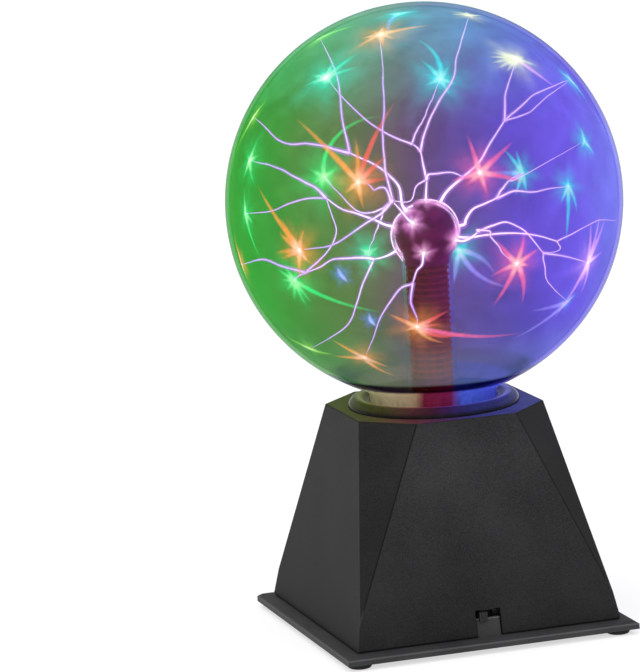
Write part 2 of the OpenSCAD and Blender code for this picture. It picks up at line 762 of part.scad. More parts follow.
// Three wires from the switch's tags down to the front of the board
module switch_leads() {
    landing = board_front_y + 3;
    colours = [[0.7, 0.08, 0.06], [0.05, 0.05, 0.05], [0.8, 0.7, 0.1]];
    for (i = [0:2]) {
        x = (i - 1.5) * 3.4;
        start = [x, terminal_y, knob_z];
        end = [x * 1.3, landing, board_top];
        color(colours[i]) wire([
            start, start + [0, 3, 1], (start + end) / 2 + [0, 0, 6 + i],
            end + [0, -1, 5], end
        ], switch_wire_r, [1, 0, 0]);
    }
}

base_shell();
bottom_plate();
foot(-1, -1);  // foot_front_left
foot(1, -1);  // foot_front_right
foot(1, 1);  // foot_rear_right
foot(-1, 1);  // foot_rear_left
bottom_screws();
collar_ring();
neck_seal();
globe_retainer();
neck_cushion();
retainer_screws();
globe_glass();
stem_glass();
electrode_wool();
stem_sleeve();
contact_rod();
stem_bung();
high_voltage_lead();
driver_board();
board_screws();
ferrite_core();
high_voltage_winding();
primary_winding();
heat_sink();
power_transistor();
transistor_screw();
filter_capacitors();
film_capacitor();
timer_chip();
resistors();
microphone();
power_jack();
power_jack_pin();
switch_can();
switch_base();
switch_knob();
switch_screws();
switch_leads();
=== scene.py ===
import math

import bmesh
import bpy
import numpy as np
from mathutils import Matrix, Vector


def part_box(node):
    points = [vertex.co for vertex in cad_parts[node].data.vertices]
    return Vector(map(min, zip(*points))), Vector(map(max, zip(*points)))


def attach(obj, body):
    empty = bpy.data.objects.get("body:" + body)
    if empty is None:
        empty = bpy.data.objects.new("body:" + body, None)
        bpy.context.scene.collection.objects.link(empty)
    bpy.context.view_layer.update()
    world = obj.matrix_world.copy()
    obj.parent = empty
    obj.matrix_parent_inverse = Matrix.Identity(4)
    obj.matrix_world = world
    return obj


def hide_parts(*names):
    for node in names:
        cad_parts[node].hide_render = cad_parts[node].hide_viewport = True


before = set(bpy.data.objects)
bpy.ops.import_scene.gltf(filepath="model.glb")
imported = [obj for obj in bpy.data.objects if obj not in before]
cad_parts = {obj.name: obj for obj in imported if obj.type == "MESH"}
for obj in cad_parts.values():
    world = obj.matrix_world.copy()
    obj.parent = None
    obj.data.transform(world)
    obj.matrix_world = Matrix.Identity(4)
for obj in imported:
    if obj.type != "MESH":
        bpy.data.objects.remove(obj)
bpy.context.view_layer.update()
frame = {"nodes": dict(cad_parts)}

mm = 0.001
nodes = frame["nodes"]
print("frame loaded:", len(nodes), "CAD nodes")


# ---- places taken from the frame

# heights of a node's foot and top
def heightsOf(node):
    low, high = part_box(node)
    return low[2], high[2]


globeFoot, globeTop = heightsOf("globe_glass")
tipFoot, ballTop = heightsOf("stem_glass")
shellFoot, shellTop = heightsOf("base_shell")

globe = {
    "radius": 100 * mm,      # outside of the glass
    "neck": 32 * mm,
    "sweep": 6 * mm,         # radius where the neck flares into the globe
    "wall": 2 * mm,
    "rings": 90,
    "spokes": 192,
    "slack": 0.06 * mm,      # keeps the smooth surface inside the faceted one
}
globeCentre = np.array([0, 0, globeTop - globe["radius"]])
stem = {
    "radius": 13 * mm,
    "ball": 17 * mm,
    "sweep": 6 * mm,
    "wall": 1.5 * mm,
    "flare": 2 * mm,         # thickness of the disc that closes the neck
    "tip": 3 * mm,           # radius of the sealed pump tip
    "rings": 60,
    "spokes": 96,
}
ballCentre = np.array([0, 0, ballTop - stem["ball"]])


turnOfTint = math.radians(17)    # from +X to the direction in which the lit colours change


# distance along that direction, of shader values or of arrays
def alongTint(x, y):
    return x * math.cos(turnOfTint) - y * math.sin(turnOfTint)


# ---- shader maths

class Flow:
    # one output socket, with the operators that add Math nodes

    def __init__(self, finish, socket):
        self.finish = finish
        self.socket = socket

    def math(self, operation, *values, clamp=False):
        inputs = dict(enumerate((self,) + values))
        return self.finish.node("ShaderNodeMath", {"operation": operation, "use_clamp": clamp}, inputs)

    def __add__(self, other):
        return self.math("ADD", other)

    def __sub__(self, other):
        return self.math("SUBTRACT", other)

    def __mul__(self, other):
        return self.math("MULTIPLY", other)

    def __truediv__(self, other):
        return self.math("DIVIDE", other)

    def __rsub__(self, other):
        return self.finish.node("ShaderNodeMath", {"operation": "SUBTRACT"}, {0: other, 1: self})

    def __neg__(self):
        return self * -1.0

    def __abs__(self):
        return self.math("ABSOLUTE")

    __radd__ = __add__
    __rmul__ = __mul__

    def clamped(self):
        return self.math("ADD", 0.0, clamp=True)

    # 0 below low, 1 above high, smooth between
    def rise(self, low, high):
        settings = {"interpolation_type": "SMOOTHSTEP"}
        inputs = {"Value": self, "From Min": low, "From Max": high, "To Min": 0.0, "To Max": 1.0}
        return self.finish.node("ShaderNodeMapRange", settings, inputs)


class Finish:
    # one material with a Principled shader; settings are values for the shader's own sockets

    def __init__(self, name, **settings):
        self.material = bpy.data.materials.new(name)
        self.material.use_nodes = True
        self.tree = self.material.node_tree
        self.shader = self.tree.nodes["Principled BSDF"]
        self.made = {}
        self.set(**settings)

    # links a value to a socket, or sets it there
    def feed(self, target, value):
        if isinstance(value, Flow):
            self.tree.links.new(value.socket, target)
        elif isinstance(value, (tuple, list)):
            size = len(target.default_value)
            target.default_value = (tuple(value) + (1.0,) * size)[:size]
        else:
            target.default_value = value

    # adds any node: its settings first, then the values or links of its sockets
    def node(self, kind, settings=None, inputs=None, out=0):
        made = self.tree.nodes.new(kind)
        for key, value in (settings or {}).items():
            if key == "stops":
                self.setStops(made.color_ramp, value)
            else:
                setattr(made, key, value)
        for key, value in (inputs or {}).items():
            self.feed(made.inputs[key], value)
        return Flow(self, made.outputs[out])

    def setStops(self, ramp, stops):
        while len(ramp.elements) > 1:
            ramp.elements.remove(ramp.elements[-1])
        for at, (place, colour) in enumerate(stops):
            stop = ramp.elements[0] if at == 0 else ramp.elements.new(place)
            stop.position = place
            stop.color = (*colour, 1.0)

    def once(self, key, build):
        if key not in self.made:
            self.made[key] = build()
        return self.made[key]

    def place(self):
        return self.once("place", lambda: self.node("ShaderNodeTexCoord", out="Object"))

    def axis(self, letter):
        split = self.once("split", lambda: self.node("ShaderNodeSeparateXYZ", inputs={0: self.place()}))
        return Flow(self, split.socket.node.outputs[letter])

    # distance from the vertical axis
    def reach(self):
        x, y = self.axis("X"), self.axis("Y")
        return (x * x + y * y).math("SQRT")

    def attribute(self, name, out):
        return self.node("ShaderNodeAttribute", {"attribute_name": name}, out=out)

    def stretched(self, scale):
        return self.node("ShaderNodeMapping", inputs={"Vector": self.place(), "Scale": scale})

    # cloudy noise, one cycle about every size metres
    def noise(self, size, detail=3.0, distortion=0.0, at=None, roughness=0.5):
        inputs = {
            "Vector": at or self.place(), "Scale": 1 / size, "Detail": detail,
            "Distortion": distortion, "Roughness": roughness,
        }
        return self.node("ShaderNodeTexNoise", {"noise_dimensions": "3D"}, inputs)

    def mix(self, factor, low, high, blend="MIX"):
        settings = {"data_type": "RGBA", "blend_type": blend}
        return self.node("ShaderNodeMix", settings, {0: factor, 6: low, 7: high}, out=2)

    def scaled(self, colour, factor):
        settings = {"operation": "SCALE"}
        return self.node("ShaderNodeVectorMath", settings, {0: colour, "Scale": factor})

    def ramp(self, stops, at):
        return self.node("ShaderNodeValToRGB", {"stops": stops}, {0: at})

    # relief of a value, on edges rounded by a radius
    def bump(self, height, distance, strength=1.0, edge=None):
        inputs = {"Height": height, "Distance": distance, "Strength": strength}
        if edge is not None:
            inputs["Normal"] = self.node("ShaderNodeBevel", {"samples": 4}, {"Radius": edge})
        return self.node("ShaderNodeBump", {}, inputs)

    # sets or links sockets of the shader, and gives the material
    def set(self, **sockets):
        for key, value in sockets.items():
            self.feed(self.shader.inputs[key.replace("_", " ")], value)
        return self.material


# ---- finishes

# moulded plastic: a dark colour with cloudy lighter areas, speckled by a fine spark-eroded grain
# that also lifts the surface; edges are rounded
def mouldedFinish(name, colour, lift=0.35, grain=0.45 * mm, depth=0.03 * mm, gloss=0.5, edge=0.5 * mm):
    finish = Finish(name, Specular_IOR_Level=0.4)
    cloud = finish.noise(35 * mm)
    speck = finish.noise(grain, roughness=0.6)
    light = tuple(min(1.0, c * (1 + lift) + 0.004) for c in colour)
    tone = (cloud * 0.5 + speck * 0.5).rise(0.3, 0.7)
    rough = (speck - 0.5) * 0.1 + (cloud - 0.5) * 0.1 + gloss
    normal = finish.bump(speck, depth, 0.7, edge)
    return finish.set(Base_Color=finish.mix(tone, colour, light), Roughness=rough.clamped(), Normal=normal)


# painted light: colour that the lit globe throws on black plastic, painted on as its own glow, from side to
# side
def spillOn(finish, settings):
    side = alongTint(finish.axis("X"), finish.axis("Y"))
    cloud = finish.noise(14 * mm)
    along = (side / settings["spillReach"] * 0.5 + 0.5 + (cloud - 0.5) * 0.15).clamped()
    return finish.scaled(finish.ramp(spill, along), cloud * 0.7 + 0.65)


# shell plastic: moulded plastic, darker towards the foot and on the corner facets by painted shade; an
# edge is where the second highest of three plane distances (side to side, front to back, across the
# corner) reaches zero. The edges of the two sides carry a painted highlight and those of the front and
# back a fine dark line of painted shade. The roof, inside all three planes, has the globe's light
# painted on it as glow
def shellFinish(name, settings):
    finish = Finish(name, Specular_IOR_Level=settings["specular"],
                    Emission_Strength=settings["spillStrength"])
    height = finish.axis("Z") - shellFoot
    x, y = abs(finish.axis("X")), abs(finish.axis("Y"))
    flat = height * settings["lean"] - settings["footHalf"]
    first = x + flat
    second = y + flat
    third = (x + y + height * settings["facetLean"] - settings["facetSum"]) * math.sqrt(0.5)
    top = first.math("MAXIMUM", second).math("MAXIMUM", third)
    low = first.math("MINIMUM", second).math("MINIMUM", third)
    middle = first + second + third - top - low
    speck = finish.noise(settings["grain"], 4.0, roughness=0.65)
    cloud = finish.noise(45 * mm, 4.0)
    atEdge = (middle + (speck - 0.5) * (0.3 * mm)).rise(-settings["edge"], 0.0)
    faceEdge = (second - first).rise(0.0, 2 * mm)
    # painted highlight on the side edges and a fine line of painted shade on the front and back edges
    paintedEdge = atEdge * (faceEdge * settings["shadeLine"] + (1 - faceEdge) * settings["wearAndHighlight"])
    base = finish.mix((speck * 0.7 + cloud * 0.3).rise(0.34, 0.68), settings["dark"], settings["light"])
    # painted shade: the corner facets darker
    facet = (third - first.math("MAXIMUM", second)).rise(0.0, 0.3 * mm)
    base = finish.scaled(base, 1 - facet * settings["facetShade"])
    # painted shade: darker towards the foot
    lighter = height.rise(0.0, settings["height"]) * (1 - settings["footShade"]) + settings["footShade"]
    shade = finish.scaled(base, lighter)
    colour = finish.mix(paintedEdge, shade, finish.mix(faceEdge, settings["paintedEdgeColour"], settings["shadeLineColour"]))
    level = height - settings["height"]
    # painted light: the globe's glow on the roof
    roof = (-top).rise(0.1 * mm, 1.0 * mm) * level.rise(-1.5 * mm, -0.3 * mm)
    rough = (speck - 0.5) * 0.14 + (cloud - 0.5) * 0.1 + settings["roughness"] - paintedEdge * 0.1
    normal = finish.bump(speck, settings["depth"], 1.0, settings["round"])
    return finish.set(Base_Color=colour, Roughness=rough.clamped(), Normal=normal,
                      Emission_Color=finish.scaled(spillOn(finish, settings), roof))


# bottom plate: moulded plastic with painted highlight lines where its upright edge meets the bevel
# and along the top of the tongue
def plateFinish(name, settings):
    finish = Finish(name, Specular_IOR_Level=settings["specular"])
    speck = finish.noise(settings["grain"], roughness=0.6)
    cloud = finish.noise(35 * mm)
    height = finish.axis("Z") + (speck - 0.5) * 0.3 * mm
    # painted highlight lines at the given heights
    paintedEdge = 0.0
    for at, wearAndHighlight in settings["paintedEdgeLines"]:
        away = abs(height - at).rise(settings["edge"] * 0.4, settings["edge"])
        paintedEdge = (1 - away) * wearAndHighlight + paintedEdge
    tone = finish.mix((cloud * 0.4 + speck * 0.6).rise(0.3, 0.7), settings["dark"], settings["light"])
    rough = (speck - 0.5) * 0.12 + (cloud - 0.5) * 0.1 + settings["roughness"]
    return finish.set(Base_Color=finish.mix(paintedEdge, tone, settings["paintedEdgeColour"]), Roughness=rough.clamped(),
                      Normal=finish.bump(speck, 0.03 * mm, 0.7, 0.4 * mm))


# glossy ring round the neck, with the globe's glow painted on its upper half and most along the bead's crest
def collarFinish(name, settings):
    finish = Finish(name, Specular_IOR_Level=settings["specular"],
                    Emission_Strength=settings["spillStrength"])
    wave = finish.noise(3 * mm)
    lift = (finish.axis("Z") - shellTop).rise(0.3 * mm, 3.5 * mm)
    crest = 1 - abs(finish.reach() - settings["crest"]).rise(0.3 * mm, 2.4 * mm)
    # painted light: the globe's glow on the bead
    glow = finish.scaled(spillOn(finish, settings), lift * (crest * 0.7 + 0.35))
    tone = finish.mix(wave.rise(0.3, 0.7), settings["dark"], settings["light"])
    return finish.set(Base_Color=tone, Roughness=(wave * 0.1 + settings["roughness"]), Emission_Color=glow,
                      Normal=finish.bump(wave, 0.01 * mm, 0.5, 0.3 * mm))


# rolled, drawn or plated metal: fine lines stretched along one axis move the roughness and the tone
def metalFinish(name, colour, gloss=0.32, lines=(0.05, 1.0, 1.0), fine=0.35 * mm):
    finish = Finish(name, Metallic=1.0)
    drawn = finish.noise(fine, at=finish.stretched(lines))
    stain = finish.noise(9 * mm)
    dull = tuple(c * 0.72 for c in colour)
    rough = (drawn - 0.5) * 0.25 + (stain - 0.5) * 0.2 + gloss
    normal = finish.bump(drawn, 0.006 * mm, 0.6, 0.15 * mm)
    tone = finish.mix(stain.rise(0.35, 0.7), colour, dull)
    return finish.set(Base_Color=tone, Roughness=rough.clamped(), Normal=normal)


# rubber or silicone: matt, with dust that lies lighter in cloudy patches
def rubberFinish(name, colour, gloss=0.75, dust=(0.16, 0.155, 0.15), dusty=0.12):
    finish = Finish(name, Specular_IOR_Level=0.3)
    patch = finish.noise(5 * mm, 4.0)
    pores = finish.noise(0.3 * mm, 2.0)
    tone = finish.mix(patch.rise(0.5, 0.8) * dusty, colour, dust)
    rough = (pores - 0.5) * 0.12 + (patch - 0.5) * 0.15 + gloss
    normal = finish.bump(pores, 0.02 * mm, 0.6, 0.25 * mm)
    return finish.set(Base_Color=tone, Roughness=rough.clamped(), Normal=normal)


# wound wire: rings round the coil's axis, a painted highlight on each turn's crown and painted shade
# between turns; on the resistors the same rings are their colour bands
def windingFinish(name, colour, pitch, metal=1.0):
    finish = Finish(name, Metallic=metal)
    turn = (finish.axis("Z") * (2 * math.pi / pitch)).math("SINE") * 0.5 + 0.5
    wander = finish.noise(4 * mm, 2.0)
    dark = tuple(c * 0.3 for c in colour)
    # painted highlight on the crowns and painted shade between the turns
    tone = finish.mix((turn * 0.8 + wander * 0.3).rise(0.1, 0.9), dark, colour)
    normal = finish.bump(turn, pitch * 0.4)
    return finish.set(Base_Color=tone, Roughness=(wander * 0.2 + 0.25), Normal=normal)


# circuit board: solder resist over copper tracks, which are the cells of a blocky noise
def boardFinish(name):
    finish = Finish(name, Coat_Weight=0.4, Coat_Roughness=0.2)
    cells = finish.node("ShaderNodeTexVoronoi", {"feature": "DISTANCE_TO_EDGE", "distance": "CHEBYCHEV"},
                        {"Vector": finish.place(), "Scale": 1 / (7 * mm)})
    track = cells.rise(0.04, 0.07)
    weave = finish.noise(0.8 * mm, 2.0)
    tone = finish.mix(track, (0.01, 0.07, 0.03), (0.02, 0.16, 0.06))
    rough = weave * 0.15 + 0.25
    normal = finish.bump(track * 0.8 + weave * 0.2, 0.035 * mm)
    return finish.set(Base_Color=tone, Roughness=rough, Normal=normal)


# a part of two colours, dusted darker in patches: the second colour starts at a height
def twoToneFinish(name, below, above, height, gloss=0.4):
    finish = Finish(name)
    upper = finish.axis("Z").rise(height - 0.02 * mm, height + 0.02 * mm)
    wearAndHighlight = finish.noise(1.2 * mm)
    shade = finish.mix(upper, below, above)
    tone = finish.mix(wearAndHighlight.rise(0.4, 0.7) * 0.3, shade, (0.01, 0.01, 0.01))
    normal = finish.bump(wearAndHighlight, 0.02 * mm, 0.5, 0.15 * mm)
    return finish.set(Base_Color=tone, Roughness=(wearAndHighlight * 0.3 + gloss - 0.15), Normal=normal)


# metal wool: matted strands, which are three stretched noises crossed and sharpened, that glow
def woolFinish(name, settings):
    finish = Finish(name, Emission_Strength=settings["glow"])
    crossed = None
    for stretch in ((1, 1, 0.12), (0.12, 1, 1), (1, 0.12, 1)):
        strand = finish.noise(settings["strand"], 4.0, 1.5, at=finish.stretched(stretch))
        crossed = strand if crossed is None else crossed.math("MAXIMUM", strand)
    lump = finish.noise(7 * mm)
    bright = (crossed - 0.5).rise(0.02, 0.2)
    tone = finish.mix(bright * 0.7 + lump * 0.3, settings["dark"], settings["light"])
    glow = finish.mix(lump.rise(0.2, 0.95), settings["glowDark"], settings["glowLight"])
    normal = finish.bump(crossed + lump * 0.5, 0.5 * mm)
    return finish.set(Base_Color=tone, Roughness=(0.75 - bright * 0.3), Metallic=bright * 0.5,
                      Emission_Color=glow, Normal=normal)


# ribbed sleeve: dark brown resin, with a painted highlight along the ribs and painted shade between
# them, and the glow around it painted on as its own light, brighter on the ribs and oranger low down
def sleeveFinish(name, settings):
    finish = Finish(name, Emission_Strength=settings["glow"], Specular_IOR_Level=0.3)
    rib = finish.reach().rise(settings["low"], settings["high"])
    streak = finish.noise(2.2 * mm, 4.0, at=finish.stretched((1, 1, 0.15)))
    # painted light: glow from one side's colour to the other's, oranger in a band low down
    side = alongTint(finish.axis("X"), finish.axis("Y")) / settings["high"]
    paintedGlow = finish.mix(side.rise(-1.0, 1.0), settings["left"], settings["right"])
    rise = finish.axis("Z") - shellTop
    low = rise.rise(10 * mm, 18 * mm) * (1 - rise.rise(20 * mm, 60 * mm))
    paintedGlow = finish.mix(low, paintedGlow, settings["foot"])
    paintedGlow = finish.scaled(paintedGlow, streak * 1.6 + rib * 0.27)
    tone = finish.mix(streak.rise(0.35, 0.7) * 0.5, settings["dark"], settings["light"])
    # painted highlight on the ribs, painted shade between them
    shade = finish.mix(rib, tone, settings["ribs"])
    normal = finish.bump(streak, 0.08 * mm)
    return finish.set(Base_Color=shade, Roughness=(streak * 0.25 + 0.45), Emission_Color=paintedGlow, Normal=normal)


# glowing gas behind clear glass: the colour runs from green on one side through smoky grey to violet
# on the other, moved by cloudy noise and by faint streaks, with teal clouds at the crown. Most of it
# comes through the glass from behind and the rest is the gas's own light. The outer wall deepens the
# colour where a sight line runs along inside it, and its very edge is darkened by painted shade.
# Below a level ring near the foot the gas ends, and where sight lines graze the glass there a dark
# band of painted shade is tinted in. The clear neck under it has painted light, for the light it picks
# up from the stem
def gasFinish(name, look):
    finish = Finish(name, Transmission_Weight=1.0, IOR=look["ior"], Roughness=0.0,
                    Emission_Strength=1.0, Specular_IOR_Level=look["specular"])
    radius = globe["radius"]
    x, y, z = finish.axis("X"), finish.axis("Y"), finish.axis("Z")
    side = alongTint(x, y) / radius
    height = (z - float(globeCentre[2])) / radius
    slant = finish.node("ShaderNodeLayerWeight", inputs={"Blend": 0.5}, out=1)
    drift = finish.noise(look["driftSize"], 3.0, 0.6)
    veil = finish.noise(look["veilSize"], 4.0, 1.2)
    streak = finish.noise(look["streakSize"], 3.0, 0.8, at=finish.stretched((0.35, 0.35, 1)))
    along = (side * 0.5 + 0.5 + (drift - 0.5) * 0.22 + (veil - 0.5) * 0.1).clamped()
    tint, glow = (finish.ramp(gasStops(part), along) for part in (0, 1))
    crown = (height + (veil - 0.5) * 0.25).rise(0.42, 0.98)
    middle = 1 - abs(side + 0.15).rise(0.2, 0.8)
    foot = (-height + (veil - 0.5) * 0.1).rise(0.44, 0.72)
    lit = finish.mix(crown * (middle * 0.6 + 0.4) * look["cloud"], glow, look["tealGlow"])
    lit = finish.mix(foot * look["footCloud"], lit, look["footGlow"])
    deep = (veil - 0.5) * 0.9 + (streak - 0.5) * 0.8 + foot * look["footGain"] + 1
    gasFoot = z - (shellTop + look["gasFoot"]) + (veil - 0.5) * 0.6 * mm
    filled = gasFoot.rise(0.0, look["bandBorder"])
    unbanded = 1 - (1 - filled) * slant.rise(0.55, 0.75)
    inNeck = 1 - (gasFoot + look["band"]).rise(-1.2 * mm, 0.6 * mm)
    sheen = finish.noise(2.5 * mm, at=finish.stretched((1, 1, 0.2)))
    # painted light on the clear neck
    neckLight = finish.scaled(finish.ramp(look["neckLight"], (side * 1.35 + 0.5).clamped()),
                              sheen * 0.7 + (z - shellTop).rise(0.0, 12 * mm) * 0.3 + 0.1)
    bright = finish.mix(inNeck, finish.scaled(lit, deep * filled), neckLight)
    reach = (x * x + y * y + height * height * (radius * radius)).math("SQRT")
    outside = reach.rise(radius - 0.8 * globe["wall"], radius - 0.5 * globe["wall"])
    thin = slant.rise(0.74, 0.79) * outside
    tint = finish.mix(thin, tint, tint, "MULTIPLY")
    tint = finish.scaled(tint, (veil - 0.5) * 0.35 + 1 - foot * (1 - look["footThrough"]))
    # painted shade: the dark band below the gas, where sight lines graze the glass
    banded = finish.mix(unbanded, look["bandTint"], tint)
    clear = finish.mix(inNeck, banded, look["neckTint"])
    # painted shade: the globe's very edge darkened
    edge = slant.rise(0.85, 0.91) * 0.85 * outside
    return finish.set(Base_Color=finish.mix(edge, clear, look["edgeTint"]), Emission_Color=bright)


# clear drawn glass with faint streaks along it
def clearFinish(name, settings):
    finish = Finish(name, Transmission_Weight=1.0, IOR=settings["ior"])
    streak = finish.noise(3 * mm, at=finish.stretched((1, 1, 0.1)))
    tint = finish.mix(streak, settings["tint"], settings["streak"])
    return finish.set(Base_Color=tint, Roughness=streak.rise(0.6, 0.9) * 0.02)


# light that wavers along a piece; its colour, and where it is soft its solidity, come from the
# piece's own attribute
def lightFinish(name, strength, flicker, detail, deep, soft):
    finish = Finish(name, Base_Color=(0.0, 0.0, 0.0), Roughness=1.0, Specular_IOR_Level=0.0,
                    Emission_Strength=strength)
    waver = finish.noise(flicker, detail)
    if soft:
        finish.set(Alpha=(finish.attribute("light", "Alpha") * (waver * 0.7 + 0.65)).clamped())
    return finish.set(Emission_Color=finish.scaled(finish.attribute("light", "Color"),
                                                   waver * deep + (1 - deep / 2)))


# ---- surfaces

# puts grids of points into one mesh that rides on a body; each grid is rows x columns x 3, its
# columns closed into a ring and its first and last rows capped, or its rows joined into a ring as
# well. Lights are a colour and a solidity for each point
def meshOf(name, grids, lights, material, wrapRows=False):
    points, faces, colours, count = [], [], [], 0
    for at, grid in enumerate(grids):
        rows, columns = grid.shape[:2]
        index = np.arange(rows * columns).reshape(rows, columns) + count
        nextRow = np.roll(index, -1, axis=0)
        here = index if wrapRows else index[:-1]
        there = nextRow if wrapRows else nextRow[:-1]
        quads = np.stack([here, np.roll(here, -1, axis=1), np.roll(there, -1, axis=1), there], axis=-1)
        faces += quads.reshape(-1, 4).tolist()
        if not wrapRows:
            faces += [index[0, ::-1].tolist(), index[-1].tolist()]
        points.append(grid.reshape(-1, 3))
        if lights is not None:
            colours.append(lights[at].reshape(-1, 4))
        count += rows * columns
    mesh = bpy.data.meshes.new(name)
    mesh.from_pydata(np.concatenate(points).tolist(), [], faces)
    if lights is not None:
        layer = mesh.color_attributes.new("light", "FLOAT_COLOR", "POINT")
        layer.data.foreach_set("color", np.concatenate(colours).astype(np.float32).ravel())
    closed = bmesh.new()
    closed.from_mesh(mesh)
    bmesh.ops.remove_doubles(closed, verts=closed.verts, dist=1e-7)
    bmesh.ops.dissolve_degenerate(closed, edges=closed.edges, dist=1e-8)
    bmesh.ops.recalc_face_normals(closed, faces=closed.faces)
    closed.to_mesh(mesh)
    closed.free()
    mesh.polygons.foreach_set("use_smooth", np.ones(len(mesh.polygons), dtype=bool))
    made = bpy.data.objects.new(name, mesh)
    bpy.context.scene.collection.objects.link(made)
    mesh.materials.append(material)
    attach(made, "base")
    return made


# a profile of (radius, height) points turned round the vertical axis
def revolved(profile, spokes):
    turn = np.linspace(0, 2 * math.pi, spokes, endpoint=False)
    radius, height = profile[:, 0, None], profile[:, 1, None]
    return np.stack([radius * np.cos(turn), radius * np.sin(turn), height + 0 * turn], axis=-1)


def arc(centre, radius, start, end, count):
    angle = np.linspace(start, end, count)
    return np.stack([centre[0] + radius * np.cos(angle), centre[1] + radius * np.sin(angle)], axis=-1)


# half outline of a ball on a tube: up the tube, round the sweep, and over the ball to its pole,
# all of it moved in by inset
def bulbOutline(ball, tube, sweep, centreZ, footZ, inset, rings):
    reach = ball + sweep
    bend = np.array([tube + sweep, centreZ - math.sqrt(reach ** 2 - (tube + sweep) ** 2)])
    across = math.atan2(centreZ - bend[1], -bend[0])
    side = np.stack([np.full(6, tube - inset), np.linspace(footZ, bend[1], 6)], axis=-1)
    inner = arc(bend, sweep + inset, math.pi, across, 14)[1:]
    over = arc((0, centreZ), ball - inset, across - math.pi, math.pi / 2, rings)[1:]
    outline = np.concatenate([side, inner, over])
    outline[-1, 0] = 0
    return outline


# a tube of changing radius along a path: each ring stands square to the path, on two axes made
# from the path's heading and one fixed direction across it
def tubeAlong(path, radius, sides=8):
    heading = np.gradient(path, axis=0)
    heading /= np.linalg.norm(heading, axis=1, keepdims=True)
    chord = path[-1] - path[0]
    across = np.cross(chord, (0.31, -0.52, 0.8))
    first = np.cross(heading, across)
    first /= np.linalg.norm(first, axis=1, keepdims=True)
    second = np.cross(heading, first)
    angle = np.linspace(0, 2 * math.pi, sides, endpoint=False)
    ring = first[:, None] * np.cos(angle)[:, None] + second[:, None] * np.sin(angle)[:, None]
    return path[:, None] + ring * radius[:, None, None]


# unit direction for an azimuth from the front, positive to the right, and an elevation
def towards(azimuth, elevation):
    a, e = math.radians(azimuth), math.radians(elevation)
    return np.array([math.sin(a) * math.cos(e), -math.cos(a) * math.cos(e), math.sin(e)])


# ---- gas

gas = {
    "ior": 1.02,                 # low, so that little of the room shows on the thin wall
    "specular": 0.12,
    "through": 0.8,              # share of the colour that is light from behind
    "footThrough": 0.75,         # and what is left of it at the foot, where the base stands behind
    "cloud": 0.9,                # share of teal in the clouds at the crown
    "footCloud": 0.13,           # and of green at the foot
    "footGain": 1.9,             # how much more the gas glows there
    "gasFoot": 17.5 * mm,        # height of the gas's lower end above the roof
    "band": 4.3 * mm,            # height of the dark band below it
    "bandBorder": 1.6 * mm,      # over which the gas fades into it
    "driftSize": 75 * mm,        # sizes of the clouds that move the colour, from wide to narrow
    "veilSize": 30 * mm,
    "streakSize": 9 * mm,
    "colours": [                 # as seen through the whole globe, from side to side
        (0.0, (0.035, 0.35, 0.035)), (0.1, (0.045, 0.33, 0.045)), (0.2, (0.08, 0.26, 0.055)),
        (0.3, (0.11, 0.2, 0.065)), (0.4, (0.14, 0.125, 0.11)), (0.47, (0.13, 0.08, 0.16)),
        (0.55, (0.125, 0.075, 0.26)), (0.65, (0.12, 0.078, 0.4)), (0.75, (0.12, 0.075, 0.55)),
        (0.87, (0.15, 0.1, 0.73)), (1.0, (0.17, 0.19, 0.78)),
    ],
    "tealGlow": (0.02, 0.16, 0.12),
    "footGlow": (0.015, 0.09, 0.055),
    # the band's and the edge's tints are painted shade, and the neck's light is painted light
    "bandTint": (0.03, 0.02, 0.09),
    "neckTint": (0.12, 0.09, 0.13),
    "edgeTint": (0.1, 0.11, 0.14),
    "neckLight": [
        (0.0, (0.14, 0.16, 0.05)), (0.2, (0.31, 0.27, 0.15)), (0.36, (0.28, 0.2, 0.12)),
        (0.42, (0.11, 0.01, 0.03)), (0.6, (0.11, 0.01, 0.05)), (0.68, (0.05, 0.09, 0.5)),
        (1.0, (0.04, 0.05, 0.45)),
    ],
}


# a sight line crosses the globe's two walls, so their tint counts squared and their own light
# counts once, then fainter with the root, the whole and the root cubed of the tint
def gasStops(part):
    stops = []
    for at, seen in gas["colours"]:
        tint = np.sqrt(gas["through"] * np.array(seen))
        own = (1 - gas["through"]) * np.array(seen) / (1 + tint ** 0.5 + tint + tint ** 1.5)
        stops.append((at, tuple(float(c) for c in (tint, own)[part])))
    return stops


# what light inside the globe must be so that it looks the wanted colour through the near wall
def throughGlass(points, wanted):
    side = alongTint(points[..., 0], points[..., 1]) / globe["radius"]
    at, tints = zip(*gasStops(0))
    tint = np.stack([np.interp(side * 0.5 + 0.5, at, channel) for channel in zip(*tints)], axis=-1)
    return wanted / np.clip(tint, 0.15, 1)


# ---- the discharge

# forks are points where streamers part, in mm from the electrode's centre: right, back, up.
# A route is (radius in mm, start, points it passes, end). A start or an end is a fork's name, or
# (azimuth, elevation) on the electrode for a start and on the glass for an end; a start on the
# glass says so.
discharge = {
    "seed": 7,
    "gap": 0.25 * mm,            # between the bursts and the glass
    "haloRatio": 2.8,
    "haloSolid": 0.22,
    "wobble": 0.14 * mm,
    "waveLength": 24 * mm,
    "coreStrength": 1.8,
    "haloStrength": 1.1,
    "burstStrength": 1.15,
    "near": (1.0, 0.78, 1.0),    # colour of a streamer beside the electrode
    "far": (0.42, 0.32, 0.66),   # and at the glass
    "halo": (0.5, 0.22, 0.85),
    "foot": (0.9, 0.3, 0.9),     # glow where a streamer leaves the electrode
}
colours = {
    "orange": (1.0, 0.36, 0.07), "red": (1.0, 0.13, 0.1), "rose": (1.0, 0.15, 0.33),
    "green": (0.03, 0.85, 0.2), "lime": (0.3, 0.85, 0.08), "teal": (0.02, 0.8, 0.5),
    "cyan": (0.02, 0.7, 0.85), "blue": (0.13, 0.3, 1.0), "cream": (0.8, 0.85, 0.55),
    "violet": (0.72, 0.33, 0.95), "lilac": (0.3, 0.25, 0.95),
}
